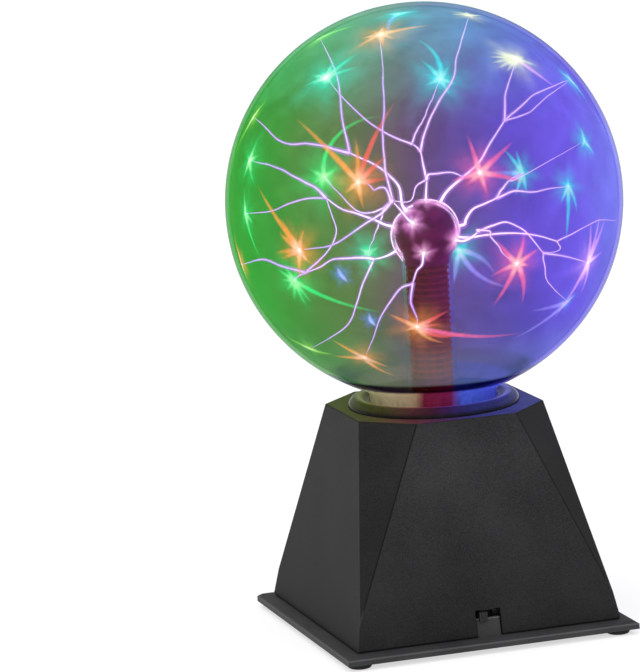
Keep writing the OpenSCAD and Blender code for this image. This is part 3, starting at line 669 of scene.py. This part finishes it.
forks = {
    "crown": (-2, -4, 42), "crownStem": (0, -6, 28), "crownLeft": (-6, -3, 46), "upperLeft": (-33, 15, 42),
    "shoulder": (-21, -13, 20), "upperRight": (34, -30, 57), "side": (42, 8, 13), "low": (42, -55, -7),
    "edge": (59, -30, -6), "elbow": (20, -24, 2), "west": (-48, 11, 21), "southWest": (-60, 13, -16),
    "hip": (-25, 9, -12), "south": (-20, -35, -19),
}
routes = [
    (0.55, (0, 80), [], "crownStem"), (0.5, "crownStem", [], "crown"), (0.4, "crown", [], "crownLeft"),
    (0.3, "crownLeft", [(-15, -8, 50), (-30, -15, 59), (-45, -24, 72)], (-60, 46)),
    (0.3, "crownLeft", [(2, 12, 50), (13, 30, 55), (25, 52, 61)], (153, 32)),
    (0.38, "crown", [(2, 0, 50), (15, 5, 69), (21, 6, 76), (24, 9, 85)], (115, 67)),
    (0.38, "crownStem", [(-3, -18, 32), (-3, -31, 34), (-3, -53, 37), (-3, -70, 37)], (-2, 15)),
    (0.25, "crownStem", [(-6, -7, 25), (-9, -8, 19)], "shoulder"),
    (0.55, (-70, 48), [(-13, 0, 25), (-19, 5, 33)], "upperLeft"),
    (0.34, "upperLeft", [(-34, 20, 58), (-34, 23, 69), (-34, 26, 80)], (-130, 58)),
    (0.42, "upperLeft", [(-42, 14, 45), (-56, 11, 49), (-68, 8, 51)], (-95, 30)),
    (0.5, (-42, 26), [], "shoulder"),
    (0.36, "shoulder", [(-25, -16, 39), (-26, -18, 52), (-26, -23, 72)], (-44, 65)),
    (0.55, (70, 62), [(18, -11, 28), (24, -17, 36), (30, -24, 48)], "upperRight"),
    (0.36, "upperRight", [(33, -34, 63), (31, -41, 71)], (30, 49)),
    (0.32, "upperRight", [(41, -25, 60), (55, -15, 66), (68, -8, 69)], (89, 34)),
    (0.22, "upperRight", [(44, -27, 58), (58, -16, 62), (70, -8, 67)], (92, 33)),
    (0.6, (80, 8), [(22, 0, 5), (28, 3, 10), (34, 5, 11)], "side"),
    (0.4, "side", [(45, 12, 15), (50, 20, 16), (58, 34, 17)], (129, 0)),
    (0.2, ("glass", 129, 0), [(56, 11, 22), (72, 13, 28)], (100, 12)),
    (0.38, "side", [(52, 13, 14), (57, 17, 14), (72, 24, 12)], (111, -3)),
    (0.55, (42, -10), [], "elbow"),
    (0.38, "elbow", [(25, -29, 5), (30, -34, 7), (36, -42, 4)], "low"),
    (0.34, "low", [(48, -61, -8), (53, -67, -9)], (38, -16)),
    (0.48, (50, -6), [(25, -19, -1), (41, -24, -1), (51, -27, -3)], "edge"),
    (0.2, "edge", [(70, -33, -1), (79, -35, 3)], (67, -8)), (0.2, "edge", [(56, -42, -8)], "low"),
    (0.36, "elbow", [(15, -38, 5), (17, -46, 5), (15, -55, 4), (16, -62, 1), (13, -74, -1)], (8, -12)),
    (0.22, "low", [(50, -34, -16), (57, -19, -27)], (94, -38)),
    (0.5, (-95, 16), [(-26, 7, 9), (-33, 8, 12), (-42, 9, 16)], "west"),
    (0.42, "west", [(-53, 8, 26), (-62, 4, 32), (-74, -2, 39)], (-84, 18)),
    (0.26, "west", [(-54, 22, 20), (-60, 32, 17), (-67, 45, 12)], (-129, -4)),
    (0.36, "shoulder", [(-19, 2, 16), (-15, 26, 10), (-20, 46, 7), (-21, 58, 10)], (-167, 2)),
    (0.38, "shoulder", [(-25, -16, 17), (-37, -24, 13), (-49, -33, 9), (-61, -41, 6)], (-58, -6)),
    (0.42, "shoulder", [(-25, -23, 21), (-34, -40, 31), (-43, -52, 32), (-50, -64, 37)], (-38, 14)),
    (0.3, "shoulder", [(-20, 4, 14), (-17, 16, 9), (-13, 35, 1)], (-179, -23)),
    (0.5, (-102, -28), [], "hip"),
    (0.42, "hip", [(-37, 8, -10), (-46, 10, -10), (-53, 12, -14)], "southWest"),
    (0.36, "southWest", [(-66, 12, -14), (-73, 11, -11), (-81, 10, -7)], (-94, -14)),
    (0.24, "southWest", [(-57, 35, -21)], (-146, -28)),
    (0.28, "southWest", [(-49, 11, -6), (-44, 9, 3)], "west"),
    (0.3, "hip", [(-29, 15, -24), (-32, 18, -35), (-37, 21, -46), (-45, 26, -53)], (-120, -50)),
    (0.45, (-24, -26), [(-11, -24, -12), (-16, -30, -14)], "south"),
    (0.38, "south", [(-26, -49, -25), (-29, -60, -27), (-30, -69, -30)], (-23, -30)),
    (0.28, "south", [(-26, -36, -20), (-33, -38, -26), (-40, -41, -34), (-46, -46, -43)], (-46, -43)),
    (0.22, (150, -10), [(24, 42, -12)], (150, -24)),
]
# creepers run over the electrode between two directions on it
creepers = [((70, 62), (82, 6)), ((82, 6), (95, -42)), ((-60, 60), (-98, 14)), ((-98, 14), (-104, -40)),
            ((0, 80), (60, 66)), ((-104, -40), (-96, -62))]
# a burst is (azimuth, elevation, colour, blob radius in mm, rays); a ray is (heading in degrees,
# 0 to the right and 90 up; length in mm; bend, unless it is straight; colour if it has its own)
bursts = [
    (-38, 14, "orange", 4.5, [(134, 54, 0.1), (92, 22, 0.1), (76, 44, -0.1, "red"), (3, 16, 0.1, "red"),
                              (44, 20, 0, "red"), (-82, 14, 0.1), (218, 9)]),
    (-167, 2, "green", 6.0, [(150, 11), (200, 8), (250, 7), (22, 9), (312, 10), (96, 44, -0.9)]),
    (-58, -6, "orange", 4.0, [(122, 20, 0.1), (80, 12, -0.2), (157, 16, -0.2), (184, 17, 0.1), (202, 14),
                              (138, 14, 0.2), (-103, 16), (-58, 9, 0.2), (131, 44, 0.1)]),
    (-146, -28, "green", 4.5, [(318, 52, 0.05), (140, 13), (165, 11, 0.1), (202, 11), (232, 14),
                               (260, 16, 0.1), (285, 15), (108, 10)]),
    (-179, -23, "teal", 4.0, [(270, 12), (20, 7), (150, 6), (215, 6)]),
    (-84, 18, "green", 4.0, [(300, 16, 0.2), (80, 12), (20, 9), (250, 10)]),
    (-129, -4, "green", 3.0, [(320, 11), (276, 26, 0.1), (88, 14)]),
    (-94, -14, "orange", 2.5, [(98, 16), (84, 11), (270, 14, 0, "lime")]),
    (-120, -50, "lime", 2.0, [(138, 22, 0.1), (318, 18, 0.1)]),
    (-130, 58, "lime", 3.0, [(26, 26, 0.1), (212, 14, 0.1), (40, 12)]),
    (-60, 46, "teal", 6.0, [(62, 20), (30, 17), (172, 12), (204, 13), (100, 12), (330, 8)]),
    (-44, 65, "orange", 4.5, [(28, 26, 0.1), (200, 10), (232, 14), (300, 13), (340, 10), (100, 8)]),
    (153, 32, "cyan", 5.0, [(116, 17, 0.1), (58, 11), (205, 10), (290, 12), (335, 9), (78, 34, 0.5)]),
    (115, 67, "cream", 3.0, [(172, 12), (8, 14), (60, 9), (120, 9), (200, 7), (240, 8, 0, "rose")]),
    (30, 49, "cream", 4.5, [(128, 13, 0.1), (144, 14), (160, 16), (175, 17), (190, 16), (206, 14),
                            (222, 10), (-66, 26, 0.2, "violet"), (330, 12), (5, 7)]),
    (89, 34, "cyan", 3.0, [(140, 10), (298, 16), (330, 8), (60, 7)]),
    (100, 12, "cyan", 3.0, [(92, 8), (320, 11), (225, 6)]),
    (129, 0, "cyan", 3.2, [(122, 16, 0.1), (102, 13), (180, 20, 0, "blue"), (250, 13), (285, 11)]),
    (-2, 15, "rose", 4.0, [(100, 20), (36, 25), (-77, 12), (-10, 24, -0.1), (190, 15), (216, 10)]),
    (111, -3, "cyan", 3.2, [(-87, 30, 0.05), (-42, 16, -0.3), (240, 11)]),
    (8, -12, "rose", 4.0, [(70, 16, 0.1), (136, 18, -0.1), (196, 15, 0.1), (250, 25, -0.1), (303, 24, -0.35),
                           (26, 14), (345, 8)]),
    (38, -16, "violet", 3.5, [(95, 23), (72, 26), (60, 26, -0.1), (12, 15), (294, 18, -0.3),
                              (243, 34, 0.05), (262, 11)]),
    (94, -38, "blue", 2.5, [(206, 28, 0, "lilac"), (238, 38, 0, "lilac"), (60, 7)]),
    (150, -24, "cyan", 4.0, [(-8, 26, -0.5, "lilac"), (296, 40, 0.5, "lilac"), (262, 26, 0, "lilac")]),
    (-23, -30, "orange", 4.0, [(150, 16), (-72, 18, 0.5), (28, 18, 0, "red"), (-24, 56, 0.05, "rose"),
                               (2, 12, 0, "red"), (200, 7), (-50, 26, 0.6, "red")]),
    (-46, -43, "orange", 3.2, [(186, 20), (140, 19), (-82, 20, 0.4), (-40, 14)]),
    (-167, -29, "blue", 2.0, [(100, 5), (300, 6)]), (-172, -46, "blue", 1.8, [(80, 5), (290, 5)]),
    (175, 70, "cyan", 4.0, [(170, 10), (20, 12), (250, 30, 0.4, "blue")]),
    (-104, 0, "lime", 1.2, [(92, 62, -0.35), (268, 60, 0.35)]),
    (66, 0, "lilac", 1.2, [(90, 62, 0.35), (270, 60, -0.35)]),
    (67, -8, "lilac", 2.0, [(90, 12), (270, 16)]), (-95, 30, "lime", 2.0, [(60, 12), (250, 16)]),
]


# a smooth path through points: cubic pieces whose slopes at the points are those of their neighbours
def routeThrough(points, count):
    points = np.array(points, dtype=float)
    steps = np.linalg.norm(np.diff(points, axis=0), axis=1)
    places = np.concatenate([[0], np.cumsum(steps)])
    slope = np.gradient(points, places, axis=0)
    at = np.linspace(0, places[-1], count)
    k = np.clip(np.searchsorted(places, at, side="right") - 1, 0, len(steps) - 1)
    h = steps[k][:, None]
    t = (at - places[k])[:, None] / h
    return ((2 * t ** 3 - 3 * t ** 2 + 1) * points[k] + (t ** 3 - 2 * t ** 2 + t) * h * slope[k]
            + (3 * t ** 2 - 2 * t ** 3) * points[k + 1] + (t ** 3 - t ** 2) * h * slope[k + 1])


# adds three slow waves across a path, still at both ends
def wavered(path, size, waveLength, rng):
    length = np.linalg.norm(np.diff(path, axis=0), axis=1).sum()
    t = np.linspace(0, 1, len(path))[:, None]
    for part in (0.7, 1.0, 2.1):
        sway, phase = rng.normal(size=3), rng.uniform(0, 2 * math.pi)
        wave = np.sin(2 * math.pi * t * length * part / waveLength + phase)
        path = path + np.sin(math.pi * t) ** 0.5 * wave * sway * size / part
    return path


# axes of the glass at a direction: right as seen from the front, and up
def glassAxes(direction):
    up = np.array([0, 0, 1.0]) - direction * direction[2]
    up /= np.linalg.norm(up)
    right = np.cross(up, direction)
    return (right if right[0] * 0.96 - right[1] * 0.3 > 0 else -right), up


leafThickness = 0.09 * mm


# a ray of a burst: a flat tapering leaf laid along the inside of the glass. Its spine leaves the
# middle at one heading and turns evenly; its width falls with the square root of what is left; its
# solidity falls towards the tip and towards both edges
def leafOn(radius, direction, heading, length, bend, width, colour, solid, start):
    rows, sides = 22, 12
    share = np.linspace(0, 1, rows)
    right, up = glassAxes(direction)
    turn = math.radians(heading) + bend * share
    out = (start + (length - start) * share)[:, None]
    way = np.cos(turn)[:, None] * right + np.sin(turn)[:, None] * up
    normal = np.cos(out / radius) * direction + np.sin(out / radius) * way
    spine = normal * radius
    ahead = np.gradient(spine, axis=0)
    across = np.cross(ahead, normal)
    across /= np.linalg.norm(across, axis=1, keepdims=True)
    angle = np.linspace(0, 2 * math.pi, sides, endpoint=False)
    half = width * np.clip(1 - share, 0, 1) ** 0.5 * (0.75 + 0.25 * np.minimum(share * 6, 1)) + 1e-5
    ring = across[:, None] * np.cos(angle)[:, None] * half[:, None, None]
    ring = ring - normal[:, None] * (np.sin(angle)[:, None] + 1) * leafThickness
    fade = ((1 - share) ** 0.9)[:, None] * (np.sin(angle) ** 4)[None] * solid
    hot = np.exp(-(share * length / (4.5 * mm)) ** 2)[:, None, None]
    rgb = np.array(colour) * (1 - hot * 0.6) + np.array((1.0, 0.9, 0.75)) * hot * 0.6
    grid = globeCentre + spine[:, None] + ring
    rgb = throughGlass(grid, np.broadcast_to(rgb, grid.shape))
    return grid, np.concatenate([rgb, fade[..., None]], axis=-1)


# the glowing middle of a burst or of a streamer's foot: a disc laid on a sphere, ragged at its rim,
# whose solidity falls from the middle outwards
def blobOn(centre, radius, direction, size, colour, rng, solid=0.85, hotness=1.0, inward=1.0):
    spokes, rings = 40, 10
    angle = np.linspace(0, 2 * math.pi, spokes, endpoint=False)
    share = np.linspace(0, 1, rings)[:, None]
    ragged = 1 + 0.16 * np.sin(5 * angle + rng.uniform(0, 6)) + 0.1 * np.sin(9 * angle + rng.uniform(0, 6))
    first, second = glassAxes(direction)
    bow = (share * size * ragged / radius)[..., None]
    unit = np.cos(bow) * direction
    unit = unit + np.sin(bow) * (np.cos(angle)[:, None] * first + np.sin(angle)[:, None] * second)
    outer = centre + unit * radius
    inner = centre + unit * (radius - inward * 0.2 * mm * (1 - share[..., None] ** 2))
    hot = np.exp(-(share * 4.0) ** 2)[..., None] * hotness
    rgb = np.array(colour) * (1 - 0.75 * hot) + np.array((1.0, 0.95, 0.85)) * hot
    rgb = throughGlass(outer, np.broadcast_to(rgb, outer.shape))
    fade = np.broadcast_to((1 - share) ** 2.0 * solid, (rings, spokes))[..., None]
    light = np.concatenate([rgb, fade], axis=-1)
    return np.concatenate([outer, inner[::-1][1:]]), np.concatenate([light, light[::-1][1:]])


def growDischarge(look):
    rng = np.random.default_rng(look["seed"])
    near, far = np.array(look["near"]), np.array(look["far"])
    glassRadius = globe["radius"] - globe["wall"] - look["gap"]
    cores, halos, glows = [], [], []

    def spot(end, onGlass):
        if isinstance(end, str):
            return ballCentre + np.array(forks[end]) * mm
        if onGlass:
            return globeCentre + towards(*end) * glassRadius
        return ballCentre + towards(*end) * (stem["ball"] + 0.1 * mm)

    def addStreamer(path, width, tip):
        share = np.linspace(0, 1, len(path))
        radius = width * mm * (1.4 - 0.85 * share ** 0.6) * (1 - (0.7 * share ** 9 if tip else 0))
        reach = np.clip(np.linalg.norm(path - ballCentre, axis=1) / (80 * mm), 0, 1)[:, None] ** 0.8
        tone = near * (1 - reach) + far * reach
        core = tubeAlong(path, radius)
        tone = throughGlass(core, np.broadcast_to(tone[:, None], core.shape))
        cores.append((core, np.concatenate([tone, core[..., :1] * 0 + 1], axis=-1)))
        halo = tubeAlong(path, radius * look["haloRatio"], 10)
        solid = (look["haloSolid"] * (1 - 0.3 * share) * (1 - (share ** 9 if tip else 0)))[:, None, None]
        glow = throughGlass(halo, np.broadcast_to(np.array(look["halo"]), halo.shape))
        halos.append((halo, np.concatenate([glow, solid + halo[..., :1] * 0], axis=-1)))

    for width, start, points, end in routes:
        fromGlass = start[0] == "glass"
        first = spot(start[1:], True) if fromGlass else spot(start, False)
        path = [first, *(ballCentre + np.array(p) * mm for p in points), spot(end, True)]
        if not isinstance(start, str) and not fromGlass:
            path.insert(1, ballCentre + towards(*start) * (stem["ball"] + 3 * mm))
            glows.append(blobOn(ballCentre, stem["ball"] + 0.25 * mm, towards(*start), 17 * width * mm,
                                look["foot"], rng, 0.65, inward=-1.0))
        path = wavered(routeThrough(path, 56), look["wobble"], look["waveLength"], rng)
        addStreamer(path, width, not isinstance(end, str))
    for first, last in creepers:
        share = np.linspace(0, 1, 24)[:, None]
        arcWay = towards(*first) * (1 - share) + towards(*last) * share
        arcWay /= np.linalg.norm(arcWay, axis=1, keepdims=True)
        addStreamer(ballCentre + arcWay * (stem["ball"] + 0.5 * mm), 0.3, False)
    for azimuth, elevation, colour, size, rays in bursts:
        way, tint = towards(azimuth, elevation), colours[colour]
        glows.append(blobOn(globeCentre, glassRadius, way, size * 1.5 * mm, tint, rng))
        glows.append(blobOn(globeCentre, glassRadius - 0.6 * mm, way, size * 4.5 * mm, tint, rng, 0.3, 0.0))
        for heading, length, *rest in rays:
            bend, own = rest + [0, colour][len(rest):]
            width = (1.4 + 0.8 * min(length, 20) / 20) * mm
            glows.append(leafOn(glassRadius, way, heading, length * mm, bend, width, colours[own], 0.72,
                                size * 0.25 * mm))
    for name, grown, strength, flicker, detail, deep in (
        ("streamerCores", cores, look["coreStrength"], 4 * mm, 2.0, 0.6),
        ("streamerHalos", halos, look["haloStrength"], 6 * mm, 3.0, 0.5),
        ("glassBursts", glows, look["burstStrength"], 3 * mm, 3.0, 0.5),
    ):
        material = lightFinish(name[:-1], strength, flicker, detail, deep, grown is not cores)
        meshOf(name, *zip(*grown), material)
    print("discharge:", len(cores), "streamers,", len(glows), "glows")


# ---- glass

clear = {"ior": 1.2, "tint": (0.93, 0.94, 0.97), "streak": (0.97, 0.98, 1.0)}


# the globe's profile is up its outside, over the pole and back down inside
def makeGlobe():
    r = globe["radius"] - globe["slack"]
    args = (r, globe["neck"], globe["sweep"], float(globeCentre[2]), globeFoot)
    outer = bulbOutline(*args, 0, globe["rings"])
    inner = bulbOutline(*args, globe["wall"], globe["rings"])
    profile = np.concatenate([outer, inner[::-1]])
    grid = revolved(profile, globe["spokes"])
    made = meshOf("globeGlass", [grid], None, gasFinish("gasInGlass", gas), True)
    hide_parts("globe_glass")


# the stem's profile is up the outside of the tube and over the ball, back down inside, then out
# along the flare that meets the neck's rim; the pump tip is a half round on a short tube
def makeStem():
    args = (stem["ball"], stem["radius"], stem["sweep"], float(ballCentre[2]))
    flareFoot = globeFoot - stem["flare"]
    outer = bulbOutline(*args, globeFoot, 0, stem["rings"])
    inner = bulbOutline(*args, flareFoot, stem["wall"], stem["rings"])
    rim = np.array([[globe["neck"], flareFoot], [globe["neck"], globeFoot]])
    profile = np.concatenate([rim, outer, inner[::-1]])
    material = clearFinish("stemGlass", clear)
    made = meshOf("stemGlass", [revolved(profile, stem["spokes"])], None, material, True)
    tip, tipAt = stem["tip"], (stem["radius"] + globe["neck"] - globe["wall"]) / 2
    end = arc((0, tipFoot + tip), tip, -math.pi / 2, 0, 12)
    end[0, 0] = 0
    body = np.array([[tip, flareFoot], [0, flareFoot]])
    grid = revolved(np.concatenate([end, body]), 32) + np.array([tipAt, 0, 0])
    sealed = meshOf("pumpTip", [grid], None, material, True)
    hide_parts("stem_glass")


# ---- finishes of the CAD nodes

# painted light: the globe's glow as it is painted on the black plastic below it
spill = [                        # colour that the lit globe throws downwards, from side to side
    (0.0, (0.065, 0.095, 0.01)), (0.12, (0.06, 0.07, 0.012)), (0.24, (0.09, 0.055, 0.02)),
    (0.36, (0.1, 0.025, 0.025)), (0.46, (0.08, 0.01, 0.04)), (0.58, (0.05, 0.015, 0.12)),
    (0.7, (0.03, 0.03, 0.2)), (1.0, (0.05, 0.055, 0.25)),
]
# the shell's edge lines are painted highlight and painted shade, its darker foot and facets painted shade,
# and the spill painted light
shellLook = {
    "dark": (0.01, 0.01, 0.0105), "light": (0.038, 0.038, 0.039), "paintedEdgeColour": (0.07, 0.07, 0.072),
    "lean": (139 - 98.4) / 2 / 106.6, "footHalf": 69.5 * mm, "facetLean": 0.6285, "facetSum": 142.5 * mm,
    "grain": 0.55 * mm, "depth": 0.05 * mm, "round": 0.7 * mm, "edge": 0.5 * mm, "wearAndHighlight": 0.35,
    "shadeLine": 0.95, "facetShade": 0.35, "shadeLineColour": (0.001, 0.001, 0.001),
    "roughness": 0.62, "specular": 0.16, "height": 106.6 * mm, "footShade": 0.55,
    "spillReach": 50 * mm, "spillStrength": 0.75,
}
# the plate's edge lines are painted highlights
plateLook = {
    "dark": (0.018, 0.018, 0.0185), "light": (0.045, 0.045, 0.046), "paintedEdgeColour": (0.14, 0.14, 0.142),
    "paintedEdgeLines": [(5.5 * mm, 0.35), (15.9 * mm, 0.6)],    # height above the table, strength
    "edge": 0.5 * mm, "grain": 0.5 * mm, "roughness": 0.55, "specular": 0.2,
}
collarLook = {
    "dark": (0.004, 0.004, 0.005), "light": (0.008, 0.008, 0.01), "roughness": 0.2, "specular": 0.12,
    "crest": 38 * mm,                # radius of the bead's top
    "spillReach": 42 * mm, "spillStrength": 1.5,
}
woolLook = {
    "strand": 1.6 * mm, "glow": 1.0, "dark": (0.02, 0.001, 0.01), "light": (0.1, 0.012, 0.06),
    "glowDark": (0.13, 0.0, 0.035), "glowLight": (0.46, 0.0, 0.2),
}
# the ribs' colour is a painted highlight; the left, right and foot colours are painted glow
sleeveLook = {
    "dark": (0.01, 0.004, 0.003), "light": (0.04, 0.015, 0.01), "ribs": (0.09, 0.035, 0.025),
    "left": (0.22, 0.015, 0.0), "right": (0.28, 0.0, 0.03), "foot": (0.52, 0.09, 0.0), "glow": 0.95,
    "low": 10.1 * mm, "high": 10.8 * mm,      # radius between the ribs and on them
}


def dressNodes():
    blackMatt = mouldedFinish("blackMatt", (0.016, 0.016, 0.017), gloss=0.55)
    steel = metalFinish("zincScrew", (0.62, 0.62, 0.64))
    tin = metalFinish("tinnedSteel", (0.68, 0.68, 0.69), gloss=0.25)
    lead = rubberFinish("redSilicone", (0.45, 0.02, 0.015), 0.45)
    looks = {
        "base_shell": shellFinish("shellGrain", shellLook),
        "bottom_plate": plateFinish("plateSatin", plateLook),
        "collar_ring": collarFinish("collarGloss", collarLook),
        "neck_seal": rubberFinish("milkySilicone", (0.5, 0.5, 0.48), 0.5),
        "globe_retainer": mouldedFinish("retainerGrey", (0.05, 0.05, 0.054)),
        "neck_cushion": rubberFinish("cushionFoam", (0.06, 0.06, 0.06), 0.9),
        "electrode_wool": woolFinish("metalWool", woolLook),
        "stem_sleeve": sleeveFinish("ribbedSleeve", sleeveLook),
        "contact_rod": metalFinish("drawnBrass", (0.72, 0.5, 0.2), lines=(1.0, 1.0, 0.05)),
        "stem_bung": rubberFinish("bungSilicone", (0.3, 0.035, 0.02), 0.5),
        "high_voltage_lead": lead,
        "switch_leads": lead,
        "driver_board": boardFinish("boardResist"),
        "ferrite_core": mouldedFinish("groundFerrite", (0.04, 0.04, 0.043), 0.6, 0.25 * mm, 0.02 * mm, 0.4),
        "high_voltage_winding": windingFinish("pottedWinding", (0.02, 0.02, 0.022), 3.3 * mm, 0.0),
        "primary_winding": windingFinish("copperTurns", (0.75, 0.28, 0.1), 0.8 * mm),
        "heat_sink": metalFinish("extrudedSink", (0.78, 0.79, 0.8), lines=(1.0, 1.0, 0.05)),
        "power_transistor": twoToneFinish("transistorPackage", (0.015, 0.015, 0.015), (0.7, 0.7, 0.72),
                                          heightsOf("power_transistor")[1] - 6.3 * mm),
        "filter_capacitors": twoToneFinish("capacitorSleeve", (0.02, 0.03, 0.14), (0.75, 0.75, 0.76),
                                           heightsOf("filter_capacitors")[1] - 0.35 * mm, 0.3),
        "film_capacitor": mouldedFinish("dippedFilm", (0.5, 0.26, 0.02), 0.3, 1.5 * mm, 0.02 * mm, 0.25,
                                        1.0 * mm),
        "timer_chip": mouldedFinish("chipEpoxy", (0.012, 0.012, 0.012), grain=0.2 * mm),
        "resistors": windingFinish("resistorBands", (0.55, 0.42, 0.22), 1.4 * mm, 0.0),
        "microphone": tin,
        "power_jack": blackMatt,
        "power_jack_pin": tin,
        "switch_can": metalFinish("dulledSteel", (0.1, 0.1, 0.105), gloss=0.5),
        "switch_base": mouldedFinish("hardPaper", (0.02, 0.012, 0.008), 0.5, 0.6 * mm, 0.02 * mm, 0.5),
        "switch_knob": mouldedFinish("knobSatin", (0.007, 0.007, 0.008), grain=0.25 * mm, depth=0.015 * mm,
                                     gloss=0.42, edge=0.3 * mm),
    }
    footRubber = rubberFinish("footRubber", (0.012, 0.012, 0.012))
    for name, node in nodes.items():
        if node.hide_render:
            continue
        if name.startswith("foot_"):
            look = footRubber
        elif name.endswith("screws") or name.endswith("screw"):
            look = steel
        else:
            look = looks[name]
        node.data.materials.clear()
        node.data.materials.append(look)
        node.data.polygons.foreach_set("use_smooth", np.ones(len(node.data.polygons), dtype=bool))
        weld = node.modifiers.new("weld", "WELD")
        weld.merge_threshold = 1e-6
        split = node.modifiers.new("split", "EDGE_SPLIT")
        split.split_angle = math.radians(28)
    print("finishes on", sum(not n.hide_render for n in nodes.values()), "CAD nodes")


# ---- stage, light and camera

studio = {
    "floorColour": (0.4, 0.4, 0.4),
    "floorGlow": 0.62,           # light of its own that keeps the floor white round the shadow
    "backdrop": 1.0,             # brightness of the world seen straight or through glass
    "surroundings": 0.35,        # and as it lights the object
    "overhead": {"at": (-0.4, -0.5, 2.0), "power": 3.0, "spread": 110, "colour": (1.0, 1.0, 1.0)},
    "left": {"at": (-2.2, -0.8, 0.9), "size": 1.2, "power": 1, "colour": (1.0, 0.99, 0.97)},
    "front": {"at": (-0.5, -2.7, 1.0), "size": 1.2, "power": 17, "colour": (1.0, 1.0, 1.0)},
    "aim": (0, 0, 0.15),
    "floorHalf": 40.0,
}
photographer = {
    "azimuth": -17.3, "elevation": 10.1, "distance": 2.025, "aim": (0.0, 0.0, 0.16),
    "right": -0.0557, "up": -0.0092, "roll": -3.07, "lens": 215.1, "sensor": 36, "farthest": 200,
}


# white round about: at full strength seen straight or through glass, dimmer as it lights the object
def makeWorld():
    world = bpy.data.worlds.new("softStudio")
    world.use_nodes = True
    nodes, link = world.node_tree.nodes, world.node_tree.links.new
    back = nodes["Background"]
    back.inputs["Color"].default_value = (1.0, 1.0, 1.0, 1.0)
    path = nodes.new("ShaderNodeLightPath")
    straight = nodes.new("ShaderNodeMath")
    straight.operation = "MAXIMUM"
    step = nodes.new("ShaderNodeMapRange")
    step.inputs["To Min"].default_value = studio["surroundings"]
    step.inputs["To Max"].default_value = studio["backdrop"]
    link(path.outputs["Is Camera Ray"], straight.inputs[0])
    link(path.outputs["Is Transmission Ray"], straight.inputs[1])
    link(straight.outputs[0], step.inputs["Value"])
    link(step.outputs["Result"], back.inputs["Strength"])
    return world


def makeStage():
    half = studio["floorHalf"]
    mesh = bpy.data.meshes.new("studioFloor")
    corners = [(-half, -half, 0), (half, -half, 0), (half, half, 0), (-half, half, 0)]
    mesh.from_pydata(corners, [], [[0, 1, 2, 3]])
    floor = bpy.data.objects.new("studioFloor", mesh)
    bpy.context.scene.collection.objects.link(floor)
    finish = Finish("paleFloor", Specular_IOR_Level=0.1, Emission_Strength=studio["floorGlow"])
    shade = finish.noise(0.6)
    base = studio["floorColour"]
    dark = tuple(c * 0.985 for c in base)
    mesh.materials.append(finish.set(Base_Color=finish.mix(shade, dark, base), Roughness=shade * 0.1 + 0.75,
                                     Emission_Color=shade * 0.02 + 0.98))
    bpy.context.scene.world = makeWorld()
    for name in ("overhead", "left", "front"):
        one = studio[name]
        light = bpy.data.lights.new(name + "Light", "AREA" if "size" in one else "SUN")
        light.energy, light.color = one["power"], one["colour"]
        if "size" in one:
            light.size = one["size"]
        else:
            light.angle = math.radians(one["spread"])
        lamp = bpy.data.objects.new(name + "Light", light)
        lamp.location = one["at"]
        lamp.visible_glossy = False
        aim = Vector(studio["aim"]) - Vector(one["at"])
        lamp.rotation_euler = aim.to_track_quat("-Z", "Y").to_euler()
        bpy.context.scene.collection.objects.link(lamp)
    print("stage and lights set")


def makeCamera():
    a, e, roll = (math.radians(photographer[k]) for k in ("azimuth", "elevation", "roll"))
    back = Vector((math.sin(a) * math.cos(e), -math.cos(a) * math.cos(e), math.sin(e)))
    right = (-back).cross(Vector((0, 0, 1))).normalized()
    up = right.cross(-back)
    eye = Vector(photographer["aim"]) + right * photographer["right"] + up * photographer["up"]
    eye += back * photographer["distance"]
    turnedRight = right * math.cos(roll) + up * math.sin(roll)
    turnedUp = -right * math.sin(roll) + up * math.cos(roll)
    data = bpy.data.cameras.new("camera")
    data.lens = photographer["lens"]
    data.sensor_width = photographer["sensor"]
    data.clip_end = photographer["farthest"]
    camera = bpy.data.objects.new("camera", data)
    turn = Matrix((turnedRight, turnedUp, back)).transposed().to_4x4()
    camera.matrix_world = Matrix.Translation(eye) @ turn
    bpy.context.scene.collection.objects.link(camera)
    bpy.context.scene.camera = camera


makeStage()
makeCamera()
makeGlobe()
makeStem()
growDischarge(discharge)
dressNodes()
bpy.context.scene.view_settings.view_transform = "Standard"
